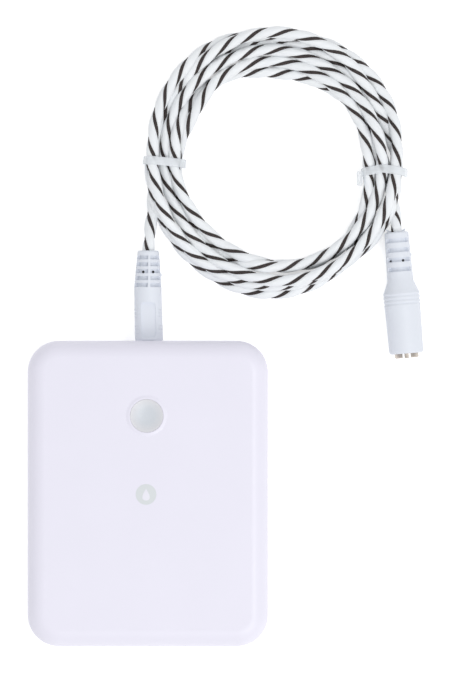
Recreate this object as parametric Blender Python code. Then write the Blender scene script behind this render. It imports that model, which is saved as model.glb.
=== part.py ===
"""Water leak sensor: a battery box with a lit push button, and a sensing rope on a plug.

Metres, +Z up. The box lies on its feet with its face up and its centre over the origin.
The rope leaves the far end of the box, lies in a tied coil, and ends in a line socket.
"""
import math

import bmesh
import bpy
from mathutils import Matrix, Vector

MM = 0.001
GAP = 0.3 * MM

# Case
CASE_WIDTH = 72.0 * MM
CASE_LENGTH = 91.5 * MM
CASE_HEIGHT = 24.0 * MM
CORNER_RADIUS = 9.3 * MM
FACE_ROUNDING = 5.1 * MM
BACK_ROUNDING = 1.5 * MM
WALL = 2.6 * MM
REAR_RIM = 4.0 * MM
SEAL_WIDTH = 0.7 * MM
SEAL_HEIGHT = 0.9 * MM

# Feet
FOOT_RADIUS = 4.0 * MM
FOOT_PROUD = 0.5 * MM
FOOT_RECESS = 1.0 * MM
FOOT_FROM_SIDE = 12.0 * MM
FOOT_FROM_END = 22.0 * MM

# Cover screws and board screws
COVER_SCREW_RADIUS = 1.3 * MM
COVER_SCREW_LENGTH = 9.0 * MM
COVER_HEAD_RADIUS = 2.4 * MM
COVER_HEAD_HEIGHT = 1.5 * MM
HEAD_SUNK = 0.4 * MM
SCREW_FROM_SIDE = 8.0 * MM
BOSS_WALL = 1.3 * MM
POST_WALL = 1.8 * MM
BOARD_SCREW_RADIUS = 1.0 * MM
BOARD_SCREW_LENGTH = 6.0 * MM
BOARD_HEAD_RADIUS = 1.8 * MM
BOARD_HEAD_HEIGHT = 1.2 * MM

# Cross recess, as shares of the head
RECESS_WIDTH = 0.12
RECESS_REACH = 0.55
RECESS_DEPTH = 0.6

# Circuit board, mounted under the face
BOARD_FROM_SIDE = 13.0 * MM
BOARD_LENGTH = 25.6 * MM
BOARD_THICKNESS = 1.6 * MM
BOARD_HOLE_INSET = 3.5 * MM
BOARD_TO_CRADLE = 0.6 * MM
RADIO_SIZE = Vector((8.4 * MM, 14.0 * MM, 0.8 * MM))
RADIO_FROM_CENTRE = 6.2 * MM
SHIELD_SIZE = Vector((7.4 * MM, 9.4 * MM, 2.0 * MM))
SHIELD_OFFSET = 1.6 * MM
CHIP_SIZE = Vector((6.0 * MM, 6.0 * MM, 1.0 * MM))
LAMP_SIZE = Vector((2.0 * MM, 1.6 * MM, 1.1 * MM))

# Jack in the end wall, hung under the board
JACK_X = 0.1 * MM
JACK_ABOVE_BACK = 9.0 * MM
JACK_WIDTH = 12.0 * MM
JACK_DEPTH = 14.0 * MM
JACK_THICKNESS = 7.0 * MM
JACK_EDGE = 0.3 * MM
JACK_POCKET = 4.0 * MM
BUSHING_WALL = 1.2 * MM
CONTACT_THICKNESS = 0.4 * MM
CONTACT_WIDTH = 1.8 * MM

# Plug
PIN_RADIUS = 1.75 * MM
PIN_LENGTH = 14.0 * MM
TIP_LENGTH = 4.5 * MM
TIP_STEP = 0.05 * MM
INSULATOR_LENGTH = 0.9 * MM
PIN_IN_BODY = 2.6 * MM
PLUG_RADIUS = 4.12 * MM
PLUG_FOOT_RADIUS = 4.2 * MM
PLUG_FOOT_LENGTH = 8.0 * MM
PLUG_GRIP_LENGTH = 15.6 * MM
RELIEF_LENGTH = 11.2 * MM
RELIEF_END_RADIUS = 3.24 * MM
RELIEF_ROWS = 5
RELIEF_PITCH = 2.06 * MM
RELIEF_SLOT = 1.15 * MM
RELIEF_DEPTH = 1.0 * MM
RELIEF_FIRST_SLOT = 0.28 * MM
RELIEF_RIB_ANGLE = 5.5
RELIEF_RIB_TURN = 5.0
RELIEF_WALL_ANGLE = 80.0
GRIP_WIDTH = 4.4 * MM
GRIP_LENGTH = 10.6 * MM
GRIP_DEPTH = 0.3 * MM
GRIP_CORNER = 1.2 * MM
PLUG_HOLE_DISTANCE = 20.35 * MM
PLUG_HOLE_OFFSETS = (1.5 * MM, -1.46 * MM)
PIN_HOLE_RADIUS = 0.42 * MM
PIN_HOLE_BOTTOM = 1.0 * MM

# Button over its switch
BUTTON_X = -0.35 * MM
BUTTON_RADIUS = 4.7 * MM
BUTTON_FROM_END = 22.45 * MM
BUTTON_SUNK = 0.1 * MM
BUTTON_DISH = 0.35 * MM
BUTTON_FLANGE = 1.1 * MM
BUTTON_FLANGE_HEIGHT = 1.2 * MM
BUTTON_TRAVEL = 0.5 * MM
LIP_WIDTH = 0.9 * MM
LIP_HEIGHT = 0.3 * MM
LIP_FOOT = 1.35 * MM
LIP_FOOT_SUNK = 0.02 * MM
SWITCH_SIZE = 6.0 * MM
SWITCH_HEIGHT = 3.5 * MM
PLUNGER_RADIUS = 1.7 * MM
PLUNGER_PROUD = 0.8 * MM
PLUNGER_INSIDE = 1.6 * MM

# Cells in their cradle
CELL_RADIUS = 7.1 * MM
CELL_NUB_RADIUS = 2.7 * MM
CELL_NUB_LENGTH = 1.4 * MM
CRADLE_WALL = 1.4 * MM
CRADLE_FLOOR = 1.2 * MM
CRADLE_ABOVE_AXIS = 2.0 * MM
PLATE_THICKNESS = 0.4 * MM
SPRING_LENGTH = 3.0 * MM
SPRING_WIRE = 0.35 * MM
SPRING_BASE_RADIUS = 4.4 * MM
SPRING_TOP_RADIUS = 2.4 * MM
SPRING_TURNS = 3
PLATE_HEIGHT = 9.0 * MM
LEAD_WIRE = 0.5 * MM
LEAD_ARCH = 0.8 * MM
LEAD_ON_BOARD = 2.0 * MM

# Rope, its coil and the two ties round it
ROPE_RADIUS = 1.9 * MM
COIL_CENTRE = Vector((37.9 * MM, 99.4 * MM))
COIL_INNER = 27.0 * MM
COIL_HALF_WIDTH = 38.5 * MM
COIL_HALF_LENGTH = 41.6 * MM
COIL_SECTION_HEIGHT = 8.0 * MM
COIL_SECTION_ROUNDING = 3.2 * MM
TIE_WIDTH = 2.5 * MM
TIE_THICKNESS = 0.8 * MM
TIE_HEAD = Vector((2.4 * MM, 4.0 * MM, 4.4 * MM))
TIE_HEAD_EDGE = 0.3 * MM
TIE_ANGLES = {"left_cable_tie": 180.0, "right_cable_tie": -3.5}

# Line socket on the rope's far end
SOCKET_START = Vector((74.56 * MM, 78.45 * MM))
SOCKET_HEADING = -85.2
SOCKET_LENGTH = 36.65 * MM
SOCKET_RELIEF_RADIUS = 3.65 * MM
SOCKET_NECK_RADIUS = 3.95 * MM
SOCKET_NECK_END = 14.7 * MM
SOCKET_BODY_START = 18.0 * MM
SOCKET_BODY_RADIUS = 5.38 * MM
SOCKET_MOUTH_RADIUS = 5.18 * MM
SOCKET_RIDGE_HEIGHT = 0.14 * MM
SOCKET_RIDGE_PITCH = 1.18 * MM
SOCKET_RIDGES = 4
SOCKET_ROWS = 4
SOCKET_ROW_PITCH = 2.91 * MM
SOCKET_ROW_START = 1.95 * MM
SOCKET_SLOT = 1.25 * MM
SOCKET_FLOOR_RADIUS = 2.8 * MM
SOCKET_WALL_ANGLE = 64.0
SOCKET_HOLE_DISTANCE = 8.7 * MM
SOCKET_HOLE_OFFSETS = (-2.4 * MM, 1.3 * MM)
SOCKET_CONTACT = 1.4 * MM
CROWN_RADIUS = 3.6 * MM
CROWN_PROUD = 1.35 * MM
CROWN_DEPTH = 8.0 * MM
CROWN_SLOT = 0.65 * MM
CROWN_SLOT_OFFSET = 0.93 * MM

# The free stretches of the rope, point by point in millimetres
LEAD_POINTS = ((0.1, 73.15, 9.5), (0.25, 74.9, 9.3), (0.5, 77.0, 8.5), (0.65, 79.1, 7.3),
               (0.85, 81.2, 6.2))
TAIL_POINTS = ((74.54, 80.2, 5.3), (74.54, 79.4, 5.42), (74.54, 78.77, 5.52))

# Heights worked out from the sizes above
CASE_BACK = FOOT_PROUD
CASE_FACE = CASE_BACK + CASE_HEIGHT
FLOOR = CASE_BACK + WALL
SPLIT = CASE_BACK + REAR_RIM
CEILING = CASE_FACE - WALL
CASE_END = CASE_LENGTH / 2
BUTTON_Y = CASE_END - BUTTON_FROM_END
BOARD_WIDTH = CASE_WIDTH - 2 * BOARD_FROM_SIDE
BAY_START = -CASE_END + WALL + 2 * GAP + CRADLE_WALL
BAY_END = CASE_END - WALL - 3 * GAP - BOARD_LENGTH - BOARD_TO_CRADLE - CRADLE_WALL
CELL_LENGTH = BAY_END - BAY_START - SPRING_LENGTH - 2 * PLATE_THICKNESS - 5 * GAP
JACK_Z = CASE_BACK + JACK_ABOVE_BACK
BOARD_LOW = JACK_Z + JACK_THICKNESS / 2 + GAP
BOARD_HIGH = BOARD_LOW + BOARD_THICKNESS
BOARD_CENTRE_Y = CASE_END - WALL - 3 * GAP - BOARD_LENGTH / 2
CELL_X = CELL_RADIUS + GAP
CELL_Z = FLOOR + GAP + CRADLE_FLOOR + GAP + CELL_RADIUS
PLUG_START = CASE_END + GAP
PLUG_LENGTH = PLUG_GRIP_LENGTH + RELIEF_LENGTH
SOCKET_Z = SOCKET_BODY_RADIUS + SOCKET_RIDGE_HEIGHT
COIL_LOW = TIE_THICKNESS + 2 * GAP

# Allowances and fineness of the shapes
CUT = 1.0 * MM
SMALL_BEVEL = 0.15 * MM
SAME_PLACE = 0.001 * MM
SHARP_ANGLE = 32.0
CORNER_STEPS = 7
ROUNDING_STEPS = 4
ROUND_STEPS = 32
FINE_STEPS = 48
SMALL_STEPS = 12
COIL_STEPS = 48
SLOT_STEP = 21.0
SPRING_STEPS = 10


# Building blocks

def finished(name, mesh_data, colour, roughness=0.5, metallic=0.0):
    """Turns a bmesh into a named object with a material of its own."""
    mesh = bpy.data.meshes.new(name)
    mesh_data.to_mesh(mesh)
    mesh_data.free()
    mesh.shade_smooth()
    mesh.set_sharp_from_angle(angle=math.radians(SHARP_ANGLE))
    obj = bpy.data.objects.new(name, mesh)
    bpy.context.scene.collection.objects.link(obj)
    mesh.materials.append(plain_material(name, colour, roughness, metallic))
    return obj


def plain_material(name, colour, roughness, metallic):
    """A single-colour surface."""
    material = bpy.data.materials.new(name)
    material.use_nodes = True
    shader = material.node_tree.nodes["Principled BSDF"]
    shader.inputs["Base Color"].default_value = (*colour, 1.0)
    shader.inputs["Roughness"].default_value = roughness
    shader.inputs["Metallic"].default_value = metallic
    return material


def tool(name, mesh_data):
    """Turns a bmesh into a hidden guide for a Boolean."""
    mesh = bpy.data.meshes.new(name)
    mesh_data.to_mesh(mesh)
    mesh_data.free()
    obj = bpy.data.objects.new(name, mesh)
    bpy.context.scene.collection.objects.link(obj)
    obj.hide_render = True
    obj.display_type = "WIRE"
    return obj


def combine(obj, guide, operation):
    """Adds a Boolean with a hidden guide."""
    modifier = obj.modifiers.new(guide.name, "BOOLEAN")
    modifier.operation = operation
    modifier.solver = "EXACT"
    modifier.object = guide


def cut(obj, name, *shapes):
    """Takes the given shapes away from an object."""
    combine(obj, tool(name, merged(shapes)), "DIFFERENCE")


def grow(obj, name, *shapes):
    """Adds the given shapes to an object."""
    combine(obj, tool(name, merged(shapes)), "UNION")


def merged(shapes):
    """Puts several bmeshes into one."""
    whole = bmesh.new()
    for shape in shapes:
        mesh = bpy.data.meshes.new("shape")
        shape.to_mesh(mesh)
        shape.free()
        whole.from_mesh(mesh)
        bpy.data.meshes.remove(mesh)
    return whole


def block(size, centre, bevel=0.0):
    """A box, with its edges broken by a small bevel if one is given."""
    shape = bmesh.new()
    place = Matrix.Translation(centre) @ Matrix.Diagonal((*size, 1.0))
    bmesh.ops.create_cube(shape, size=1.0, matrix=place)
    if bevel > 0.0:
        bmesh.ops.bevel(shape, geom=shape.edges[:], offset=bevel, segments=1, profile=0.5,
                        affect="EDGES", material=-1)
    return shape


def rounded_box(width, length, low, high, corner, top=0.0, bottom=0.0):
    """A box with round upright corners, and a rounded top or bottom rim if one is given."""
    shape = block((width, length, high - low), (0.0, 0.0, (low + high) / 2))
    upright = []
    for edge in shape.edges:
        if abs(edge.verts[0].co.z - edge.verts[1].co.z) > (high - low) / 2:
            upright.append(edge)
    bmesh.ops.bevel(shape, geom=upright, offset=corner, segments=CORNER_STEPS,
                    profile=0.5, affect="EDGES", material=-1)
    for level, rounding in ((high, top), (low, bottom)):
        if rounding > 0.0:
            rim = [edge for edge in shape.edges
                   if all(abs(vert.co.z - level) < SAME_PLACE for vert in edge.verts)]
            bmesh.ops.bevel(shape, geom=rim, offset=rounding, segments=ROUNDING_STEPS,
                            profile=0.5, affect="EDGES", material=-1)
    return shape


def case_outline(inset, low, high, top=0.0, bottom=0.0):
    """The case's outline drawn in by an inset, as a solid."""
    return rounded_box(CASE_WIDTH - 2 * inset, CASE_LENGTH - 2 * inset, low, high,
                       CORNER_RADIUS - inset, top, bottom)


def turned(profile, steps=ROUND_STEPS, ring=False, angle=360.0):
    """A profile of (radius, height) points turned about Z; a ring's profile is a loop."""
    shape = bmesh.new()
    verts = [shape.verts.new((radius, 0.0, height)) for radius, height in profile]
    pairs = list(zip(verts, verts[1:]))
    if ring:
        pairs.append((verts[-1], verts[0]))
    edges = [shape.edges.new(pair) for pair in pairs]
    faces = []
    if angle < 360.0:
        faces.append(shape.faces.new(verts))
    bmesh.ops.spin(shape, geom=verts + edges + faces, cent=(0, 0, 0), axis=(0, 0, 1),
                   dvec=(0, 0, 0), angle=math.radians(angle), steps=steps,
                   use_merge=angle >= 360.0, use_duplicate=False)
    bmesh.ops.remove_doubles(shape, verts=shape.verts[:], dist=SAME_PLACE)
    bmesh.ops.recalc_face_normals(shape, faces=shape.faces[:])
    return shape


def rod(radius, low, high, steps=SMALL_STEPS):
    """A plain cylinder about Z."""
    return turned(((0.0, low), (radius, low), (radius, high), (0.0, high)), steps)


def placed(shape, matrix):
    """Moves a bmesh."""
    bmesh.ops.transform(shape, matrix=matrix, verts=shape.verts[:])
    return shape


def at(x, y, z=0.0):
    """A translation."""
    return Matrix.Translation((x, y, z))


def prism(points, low, high):
    """A flat outline of (x, y) points drawn up from low to high."""
    shape = bmesh.new()
    face = shape.faces.new([shape.verts.new((x, y, low)) for x, y in points])
    made = bmesh.ops.extrude_face_region(shape, geom=[face])["geom"]
    lifted = [item for item in made if isinstance(item, bmesh.types.BMVert)]
    bmesh.ops.translate(shape, vec=(0.0, 0.0, high - low), verts=lifted)
    bmesh.ops.recalc_face_normals(shape, faces=shape.faces[:])
    return shape


def tube(name, points, radius, colour, resolution=2, roughness=0.6, metallic=0.0):
    """A round tube with flat ends along a smooth curve through the points."""
    curve = bpy.data.curves.new(name, "CURVE")
    curve.dimensions = "3D"
    curve.bevel_depth = radius
    curve.bevel_resolution = resolution
    curve.use_fill_caps = True
    curve.render_resolution_u = 0
    spline = curve.splines.new("POLY")
    spline.points.add(len(points) - 1)
    for item, point in zip(spline.points, points):
        item.co = (*point, 1.0)
    obj = bpy.data.objects.new(name, curve)
    bpy.context.scene.collection.objects.link(obj)
    curve.materials.append(plain_material(name, colour, roughness, metallic))
    return obj


def smooth_route(points, steps):
    """Reads points from a smooth curve through the given ones, each of them a vector."""
    knots = list(points)
    knots = [2 * knots[0] - knots[1]] + knots + [2 * knots[-1] - knots[-2]]
    route = []
    for before, start, end, after in zip(knots, knots[1:], knots[2:], knots[3:]):
        for step in range(steps):
            t = step / steps
            route.append(0.5 * (2 * start + (end - before) * t
                                + (2 * before - 5 * start + 4 * end - after) * t ** 2
                                + (3 * start - before - 3 * end + after) * t ** 3))
    route.append(knots[-2])
    return route


# Case, seal, feet and screws

def corners(from_side, from_end):
    """The four places at the given distances from the case's sides and ends."""
    x = CASE_WIDTH / 2 - from_side
    y = CASE_END - from_end
    return ((x, y), (-x, y), (-x, -y), (x, -y))


def board_holes():
    """The four screw places of the circuit board."""
    x = BOARD_WIDTH / 2 - BOARD_HOLE_INSET
    y = BOARD_LENGTH / 2 - BOARD_HOLE_INSET
    quarters = ((1, 1), (-1, 1), (-1, -1), (1, -1))
    return [(side * x, BOARD_CENTRE_Y + end * y) for side, end in quarters]


def make_front_cover():
    """Deep moulded shell with screw posts, board posts, button hole and jack hole."""
    low = SPLIT + GAP
    cover = finished("front_cover", case_outline(0.0, low, CASE_FACE, top=FACE_ROUNDING),
                     (0.84, 0.82, 0.91), 0.35)
    cut(cover, "front_cavity", case_outline(WALL, low - CUT, CEILING, top=FACE_ROUNDING - WALL))
    root = CEILING + WALL / 2
    cover_pilot = COVER_SCREW_RADIUS + GAP
    board_pilot = BOARD_SCREW_RADIUS + GAP
    posts = []
    pilots = []
    for x, y in corners(SCREW_FROM_SIDE, SCREW_FROM_SIDE):
        posts.append(placed(rod(cover_pilot + POST_WALL, low, root), at(x, y)))
        screw_end = CASE_BACK + HEAD_SUNK + COVER_HEAD_HEIGHT + COVER_SCREW_LENGTH
        pilots.append(placed(rod(cover_pilot, low - CUT, screw_end + 2 * GAP), at(x, y)))
    for x, y in board_holes():
        posts.append(placed(rod(board_pilot + BOSS_WALL, BOARD_HIGH + GAP, root), at(x, y)))
        screw_end = BOARD_LOW - GAP + BOARD_SCREW_LENGTH
        pilots.append(placed(rod(board_pilot, BOARD_HIGH, screw_end + 2 * GAP), at(x, y)))
    grow(cover, "front_posts", *posts)
    hole = BUTTON_RADIUS + GAP
    lip = turned(((hole - GAP, CASE_FACE - WALL / 2), (hole - GAP, CASE_FACE + LIP_HEIGHT),
                  (hole + LIP_WIDTH / 2, CASE_FACE + LIP_HEIGHT),
                  (hole + LIP_WIDTH, CASE_FACE + LIP_HEIGHT / 3),
                  (hole + LIP_FOOT, CASE_FACE - LIP_FOOT_SUNK),
                  (hole + LIP_FOOT, CASE_FACE - WALL / 2)), ROUND_STEPS, ring=True)
    grow(cover, "button_lip", placed(lip, at(BUTTON_X, BUTTON_Y)))
    button_hole = placed(rod(hole, CEILING - CUT, CASE_FACE + CUT, ROUND_STEPS),
                         at(BUTTON_X, BUTTON_Y))
    jack_hole = placed(rod(bushing_radius() + GAP, -WALL - CUT, CUT, ROUND_STEPS),
                       at(JACK_X, CASE_END, JACK_Z) @ Matrix.Rotation(-math.pi / 2, 4, "X"))
    cut(cover, "front_holes", button_hole, jack_hole, *pilots)


def case_ring(inset, width, low, high, name):
    """A thin wall that follows the case's outline, as an object."""
    ring = finished(name, case_outline(inset, low, high), (0.25, 0.26, 0.28), 0.8)
    cut(ring, name + "_core", case_outline(inset + width, low - CUT, high + CUT))
    return ring


def make_rear_cover():
    """Shallow moulded tray with the seal's groove, screw bosses and foot recesses."""
    cover = finished("rear_cover", case_outline(0.0, CASE_BACK, SPLIT, bottom=BACK_ROUNDING),
                     (0.84, 0.82, 0.91), 0.4)
    cut(cover, "rear_cavity", case_outline(WALL, FLOOR, SPLIT + CUT))
    head_room = COVER_HEAD_RADIUS + GAP
    bosses = []
    holes = []
    for x, y in corners(SCREW_FROM_SIDE, SCREW_FROM_SIDE):
        bosses.append(placed(rod(head_room + BOSS_WALL, CASE_BACK + WALL / 2, SPLIT), at(x, y)))
        seat = CASE_BACK + HEAD_SUNK + COVER_HEAD_HEIGHT + GAP
        bore = COVER_SCREW_RADIUS + GAP
        step = ((0.0, CASE_BACK - CUT), (head_room, CASE_BACK - CUT), (head_room, seat),
                (bore, seat), (bore, SPLIT + CUT), (0.0, SPLIT + CUT))
        holes.append(placed(turned(step, SMALL_STEPS), at(x, y)))
    for x, y in corners(FOOT_FROM_SIDE, FOOT_FROM_END):
        recess = rod(FOOT_RADIUS + GAP, CASE_BACK - CUT, CASE_BACK + FOOT_RECESS, ROUND_STEPS)
        holes.append(placed(recess, at(x, y)))
    grow(cover, "rear_bosses", *bosses)
    cut(cover, "rear_holes", *holes)
    inset = (WALL - SEAL_WIDTH) / 2 - GAP
    groove = case_ring(inset, SEAL_WIDTH + 2 * GAP, SPLIT - SEAL_HEIGHT - GAP, SPLIT + CUT,
                       "seal_groove")
    groove.hide_render = True
    groove.display_type = "WIRE"
    combine(cover, groove, "DIFFERENCE")


def make_seal():
    """Rubber cord gasket that lies in the rear cover's groove."""
    case_ring((WALL - SEAL_WIDTH) / 2, SEAL_WIDTH, SPLIT - SEAL_HEIGHT, SPLIT, "cover_seal")


def make_feet():
    """Four rubber feet in the rear cover's recesses."""
    top = CASE_BACK + FOOT_RECESS - GAP
    edge = 0.3 * MM
    profile = ((0.0, 0.0), (FOOT_RADIUS - edge, 0.0), (FOOT_RADIUS, edge), (FOOT_RADIUS, top),
               (0.0, top))
    for number, (x, y) in enumerate(corners(FOOT_FROM_SIDE, FOOT_FROM_END), 1):
        finished(f"rubber_foot_{number}", placed(turned(profile, ROUND_STEPS), at(x, y)),
                 (0.12, 0.12, 0.13), 0.85)


def make_screw(name, place, head_radius, head_height, radius, length):
    """A cross-head screw that points up, with its head's face at its own zero."""
    edge = 0.25 * MM
    end = head_height + length
    profile = ((0.0, 0.0), (head_radius - edge, 0.0), (head_radius, edge),
               (head_radius, head_height), (radius, head_height), (radius, end - radius / 2),
               (radius / 2, end), (0.0, end))
    screw = finished(name, placed(turned(profile, SMALL_STEPS), place), (0.62, 0.63, 0.65), 0.3, 1.0)
    half = head_radius * RECESS_WIDTH
    arm = head_radius * RECESS_REACH
    cross = ((arm, -half), (arm, half), (half, half), (half, arm), (-half, arm), (-half, half),
             (-arm, half), (-arm, -half), (-half, -half), (-half, -arm), (half, -arm),
             (half, -half))
    cut(screw, name + "_recess", placed(prism(cross, -CUT, head_height * RECESS_DEPTH), place))


def make_screws():
    """Four cover screws from the back and four board screws from below the board."""
    for number, (x, y) in enumerate(corners(SCREW_FROM_SIDE, SCREW_FROM_SIDE), 1):
        make_screw(f"cover_screw_{number}", at(x, y, CASE_BACK + HEAD_SUNK), COVER_HEAD_RADIUS,
                   COVER_HEAD_HEIGHT, COVER_SCREW_RADIUS, COVER_SCREW_LENGTH)
    for number, (x, y) in enumerate(board_holes(), 1):
        make_screw(f"board_screw_{number}", at(x, y, BOARD_LOW - GAP - BOARD_HEAD_HEIGHT),
                   BOARD_HEAD_RADIUS, BOARD_HEAD_HEIGHT, BOARD_SCREW_RADIUS, BOARD_SCREW_LENGTH)


# Board and what it carries

def make_board():
    """Circuit board with its four screw holes."""
    board = finished("circuit_board",
                     block((BOARD_WIDTH, BOARD_LENGTH, BOARD_THICKNESS),
                           (0.0, BOARD_CENTRE_Y, (BOARD_LOW + BOARD_HIGH) / 2)),
                     (0.04, 0.22, 0.10), 0.4)
    bore = BOARD_SCREW_RADIUS + GAP
    cut(board, "board_holes", *[placed(rod(bore, BOARD_LOW - CUT, BOARD_HIGH + CUT), at(x, y))
                                for x, y in board_holes()])


def make_chips():
    """Radio module with its shield, controller and status lamp."""
    seat = BOARD_HIGH + GAP
    switch_end = BUTTON_Y + SWITCH_SIZE / 2
    radio = Vector((-RADIO_FROM_CENTRE, switch_end + 2 * GAP + RADIO_SIZE.y / 2))
    finished("radio_board", block(RADIO_SIZE, (*radio, seat + RADIO_SIZE.z / 2)),
             (0.03, 0.10, 0.20), 0.4)
    low = seat + RADIO_SIZE.z + GAP
    middle = Vector((radio.x, radio.y - SHIELD_OFFSET, low + SHIELD_SIZE.z / 2))
    shield = finished("radio_shield", block(SHIELD_SIZE, middle, SMALL_BEVEL),
                      (0.75, 0.75, 0.76), 0.3, 1.0)
    hollow = SHIELD_SIZE - Vector((2 * GAP, 2 * GAP, 0.0))
    cut(shield, "shield_hollow", block(hollow, middle - Vector((0.0, 0.0, GAP))))
    chip_x = JACK_X + JACK_WIDTH / 2 + CHIP_SIZE.x
    chip_z = BOARD_LOW - GAP - CHIP_SIZE.z / 2
    finished("controller_chip", block(CHIP_SIZE, (chip_x, BOARD_CENTRE_Y, chip_z), SMALL_BEVEL),
             (0.03, 0.03, 0.03), 0.5)
    lamp_y = switch_end + GAP + LAMP_SIZE.y / 2
    finished("status_lamp",
             block(LAMP_SIZE, (BUTTON_X, lamp_y, seat + LAMP_SIZE.z / 2), SMALL_BEVEL),
             (0.9, 0.9, 0.8), 0.2)


def make_button():
    """Light-guide button, and the tact switch and plunger under it."""
    seat = BOARD_HIGH + GAP
    switch_top = seat + SWITCH_HEIGHT
    bore = PLUNGER_RADIUS + GAP
    centre = at(BUTTON_X, BUTTON_Y)
    switch = finished("switch_body",
                      block((SWITCH_SIZE, SWITCH_SIZE, SWITCH_HEIGHT),
                            (BUTTON_X, BUTTON_Y, seat + SWITCH_HEIGHT / 2), SMALL_BEVEL),
                      (0.05, 0.05, 0.05), 0.5)
    well = switch_top - PLUNGER_INSIDE - BUTTON_TRAVEL - GAP
    cut(switch, "switch_well", placed(rod(bore, well, switch_top + CUT), centre))
    plunger_top = switch_top + PLUNGER_PROUD
    finished("switch_plunger",
             placed(rod(PLUNGER_RADIUS, switch_top - PLUNGER_INSIDE, plunger_top), centre),
             (0.10, 0.10, 0.10), 0.5)
    top = CASE_FACE - BUTTON_SUNK
    flange_high = CEILING - GAP
    flange_low = flange_high - BUTTON_FLANGE_HEIGHT
    flange = BUTTON_RADIUS + BUTTON_FLANGE
    edge = 0.35 * MM
    rise = top - edge
    profile = ((0.0, plunger_top + GAP), (PLUNGER_RADIUS, plunger_top + GAP),
               (PLUNGER_RADIUS, flange_low), (flange, flange_low), (flange, flange_high),
               (BUTTON_RADIUS, flange_high), (BUTTON_RADIUS, rise), (BUTTON_RADIUS - edge, top),
               (BUTTON_RADIUS - 3 * edge, top - BUTTON_DISH / 3),
               (BUTTON_RADIUS / 2, top - BUTTON_DISH * 0.8), (0.0, top - BUTTON_DISH))
    finished("button", placed(turned(profile, ROUND_STEPS), centre), (0.68, 0.71, 0.74), 0.3)


def bushing_radius():
    """Outer radius of the jack's metal bushing."""
    return PIN_RADIUS + GAP + BUSHING_WALL


def make_jack():
    """Jack body under the board, its bushing in the end wall, and its two contacts."""
    wall_face = CASE_END - WALL
    front = wall_face - GAP
    centre_y = front - JACK_DEPTH / 2
    bore = PIN_RADIUS + GAP
    body = finished("jack_body",
                    block((JACK_WIDTH, JACK_DEPTH, JACK_THICKNESS), (JACK_X, centre_y, JACK_Z),
                          JACK_EDGE), (0.06, 0.06, 0.06), 0.45)
    along_y = at(JACK_X, front, JACK_Z) @ Matrix.Rotation(-math.pi / 2, 4, "X")
    pocket = Vector((JACK_WIDTH / 2, JACK_POCKET, CONTACT_WIDTH + 2 * GAP))
    cut(body, "jack_bore", placed(rod(bore, -JACK_DEPTH - CUT, CUT, ROUND_STEPS), along_y))
    places = {"jack_tip_contact": (1.0, CASE_END + GAP - PIN_LENGTH + TIP_LENGTH / 2),
              "jack_sleeve_contact": (-1.0, front - pocket.y)}
    for name, (side, y) in places.items():
        middle = Vector((JACK_X + side * (bore / 2 + pocket.x / 2 + CUT), y, JACK_Z))
        reach = Vector((pocket.x + CUT, pocket.y, pocket.z))
        cut(body, name + "_pocket", block(reach, middle))
        near = JACK_X + side * bore
        far = JACK_X + side * (JACK_WIDTH / 2 - GAP)
        wide = pocket.y / 2 - GAP
        thick = side * CONTACT_THICKNESS
        outline = ((far, y - wide), (near + thick, y - CONTACT_THICKNESS / 2),
                   (near + thick, y + CONTACT_THICKNESS / 2), (far, y + wide),
                   (far - thick, y + wide), (near, y + CONTACT_THICKNESS),
                   (near, y - CONTACT_THICKNESS), (far - thick, y - wide))
        low = JACK_Z - CONTACT_WIDTH / 2
        finished(name, prism(outline, low, low + CONTACT_WIDTH), (0.80, 0.66, 0.36), 0.3, 1.0)
    bushing = ((bore, -WALL), (bushing_radius(), -WALL), (bushing_radius(), -GAP), (bore, -GAP))
    finished("jack_bushing",
             placed(turned(bushing, ROUND_STEPS, ring=True),
                    at(JACK_X, CASE_END, JACK_Z) @ Matrix.Rotation(-math.pi / 2, 4, "X")),
             (0.78, 0.78, 0.78), 0.25, 1.0)


# Cells and contacts

def make_cradle():
    """Open tray that holds the two cells over the rear cover's floor."""
    low = FLOOR + GAP
    high = CELL_Z + CRADLE_ABOVE_AXIS
    half = CELL_X + CELL_RADIUS + GAP
    length = BAY_END - BAY_START
    middle = (BAY_START + BAY_END) / 2
    size = (2 * (half + CRADLE_WALL), length + 2 * CRADLE_WALL, high - low)
    cradle = finished("battery_cradle", block(size, (0.0, middle, (low + high) / 2)),
                      (0.10, 0.10, 0.11), 0.55)
    inner_low = low + CRADLE_FLOOR
    room = block((2 * half, length, high - inner_low + CUT),
                 (0.0, middle, (inner_low + high + CUT) / 2))
    cut(cradle, "cradle_room", room)


def make_cells():
    """Two cylindrical cells, laid head to tail."""
    edge = 0.5 * MM
    body = CELL_LENGTH - CELL_NUB_LENGTH
    profile = ((0.0, 0.0), (CELL_RADIUS - edge, 0.0), (CELL_RADIUS, edge),
               (CELL_RADIUS, body - edge), (CELL_RADIUS - edge, body),
               (CELL_NUB_RADIUS, body), (CELL_NUB_RADIUS, CELL_LENGTH), (0.0, CELL_LENGTH))
    inner = 2 * GAP + PLATE_THICKNESS
    tail_first = at(-CELL_X, BAY_START + inner + SPRING_LENGTH + GAP, CELL_Z)
    head_first = at(CELL_X, BAY_END - inner - SPRING_LENGTH - GAP, CELL_Z)
    quarter = Matrix.Rotation(math.pi / 2, 4, "X")
    finished("battery_cell_1", placed(turned(profile, ROUND_STEPS), tail_first @ quarter.inverted()),
             (0.30, 0.32, 0.35), 0.35, 0.3)
    finished("battery_cell_2", placed(turned(profile, ROUND_STEPS), head_first @ quarter),
             (0.30, 0.32, 0.35), 0.35, 0.3)


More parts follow.
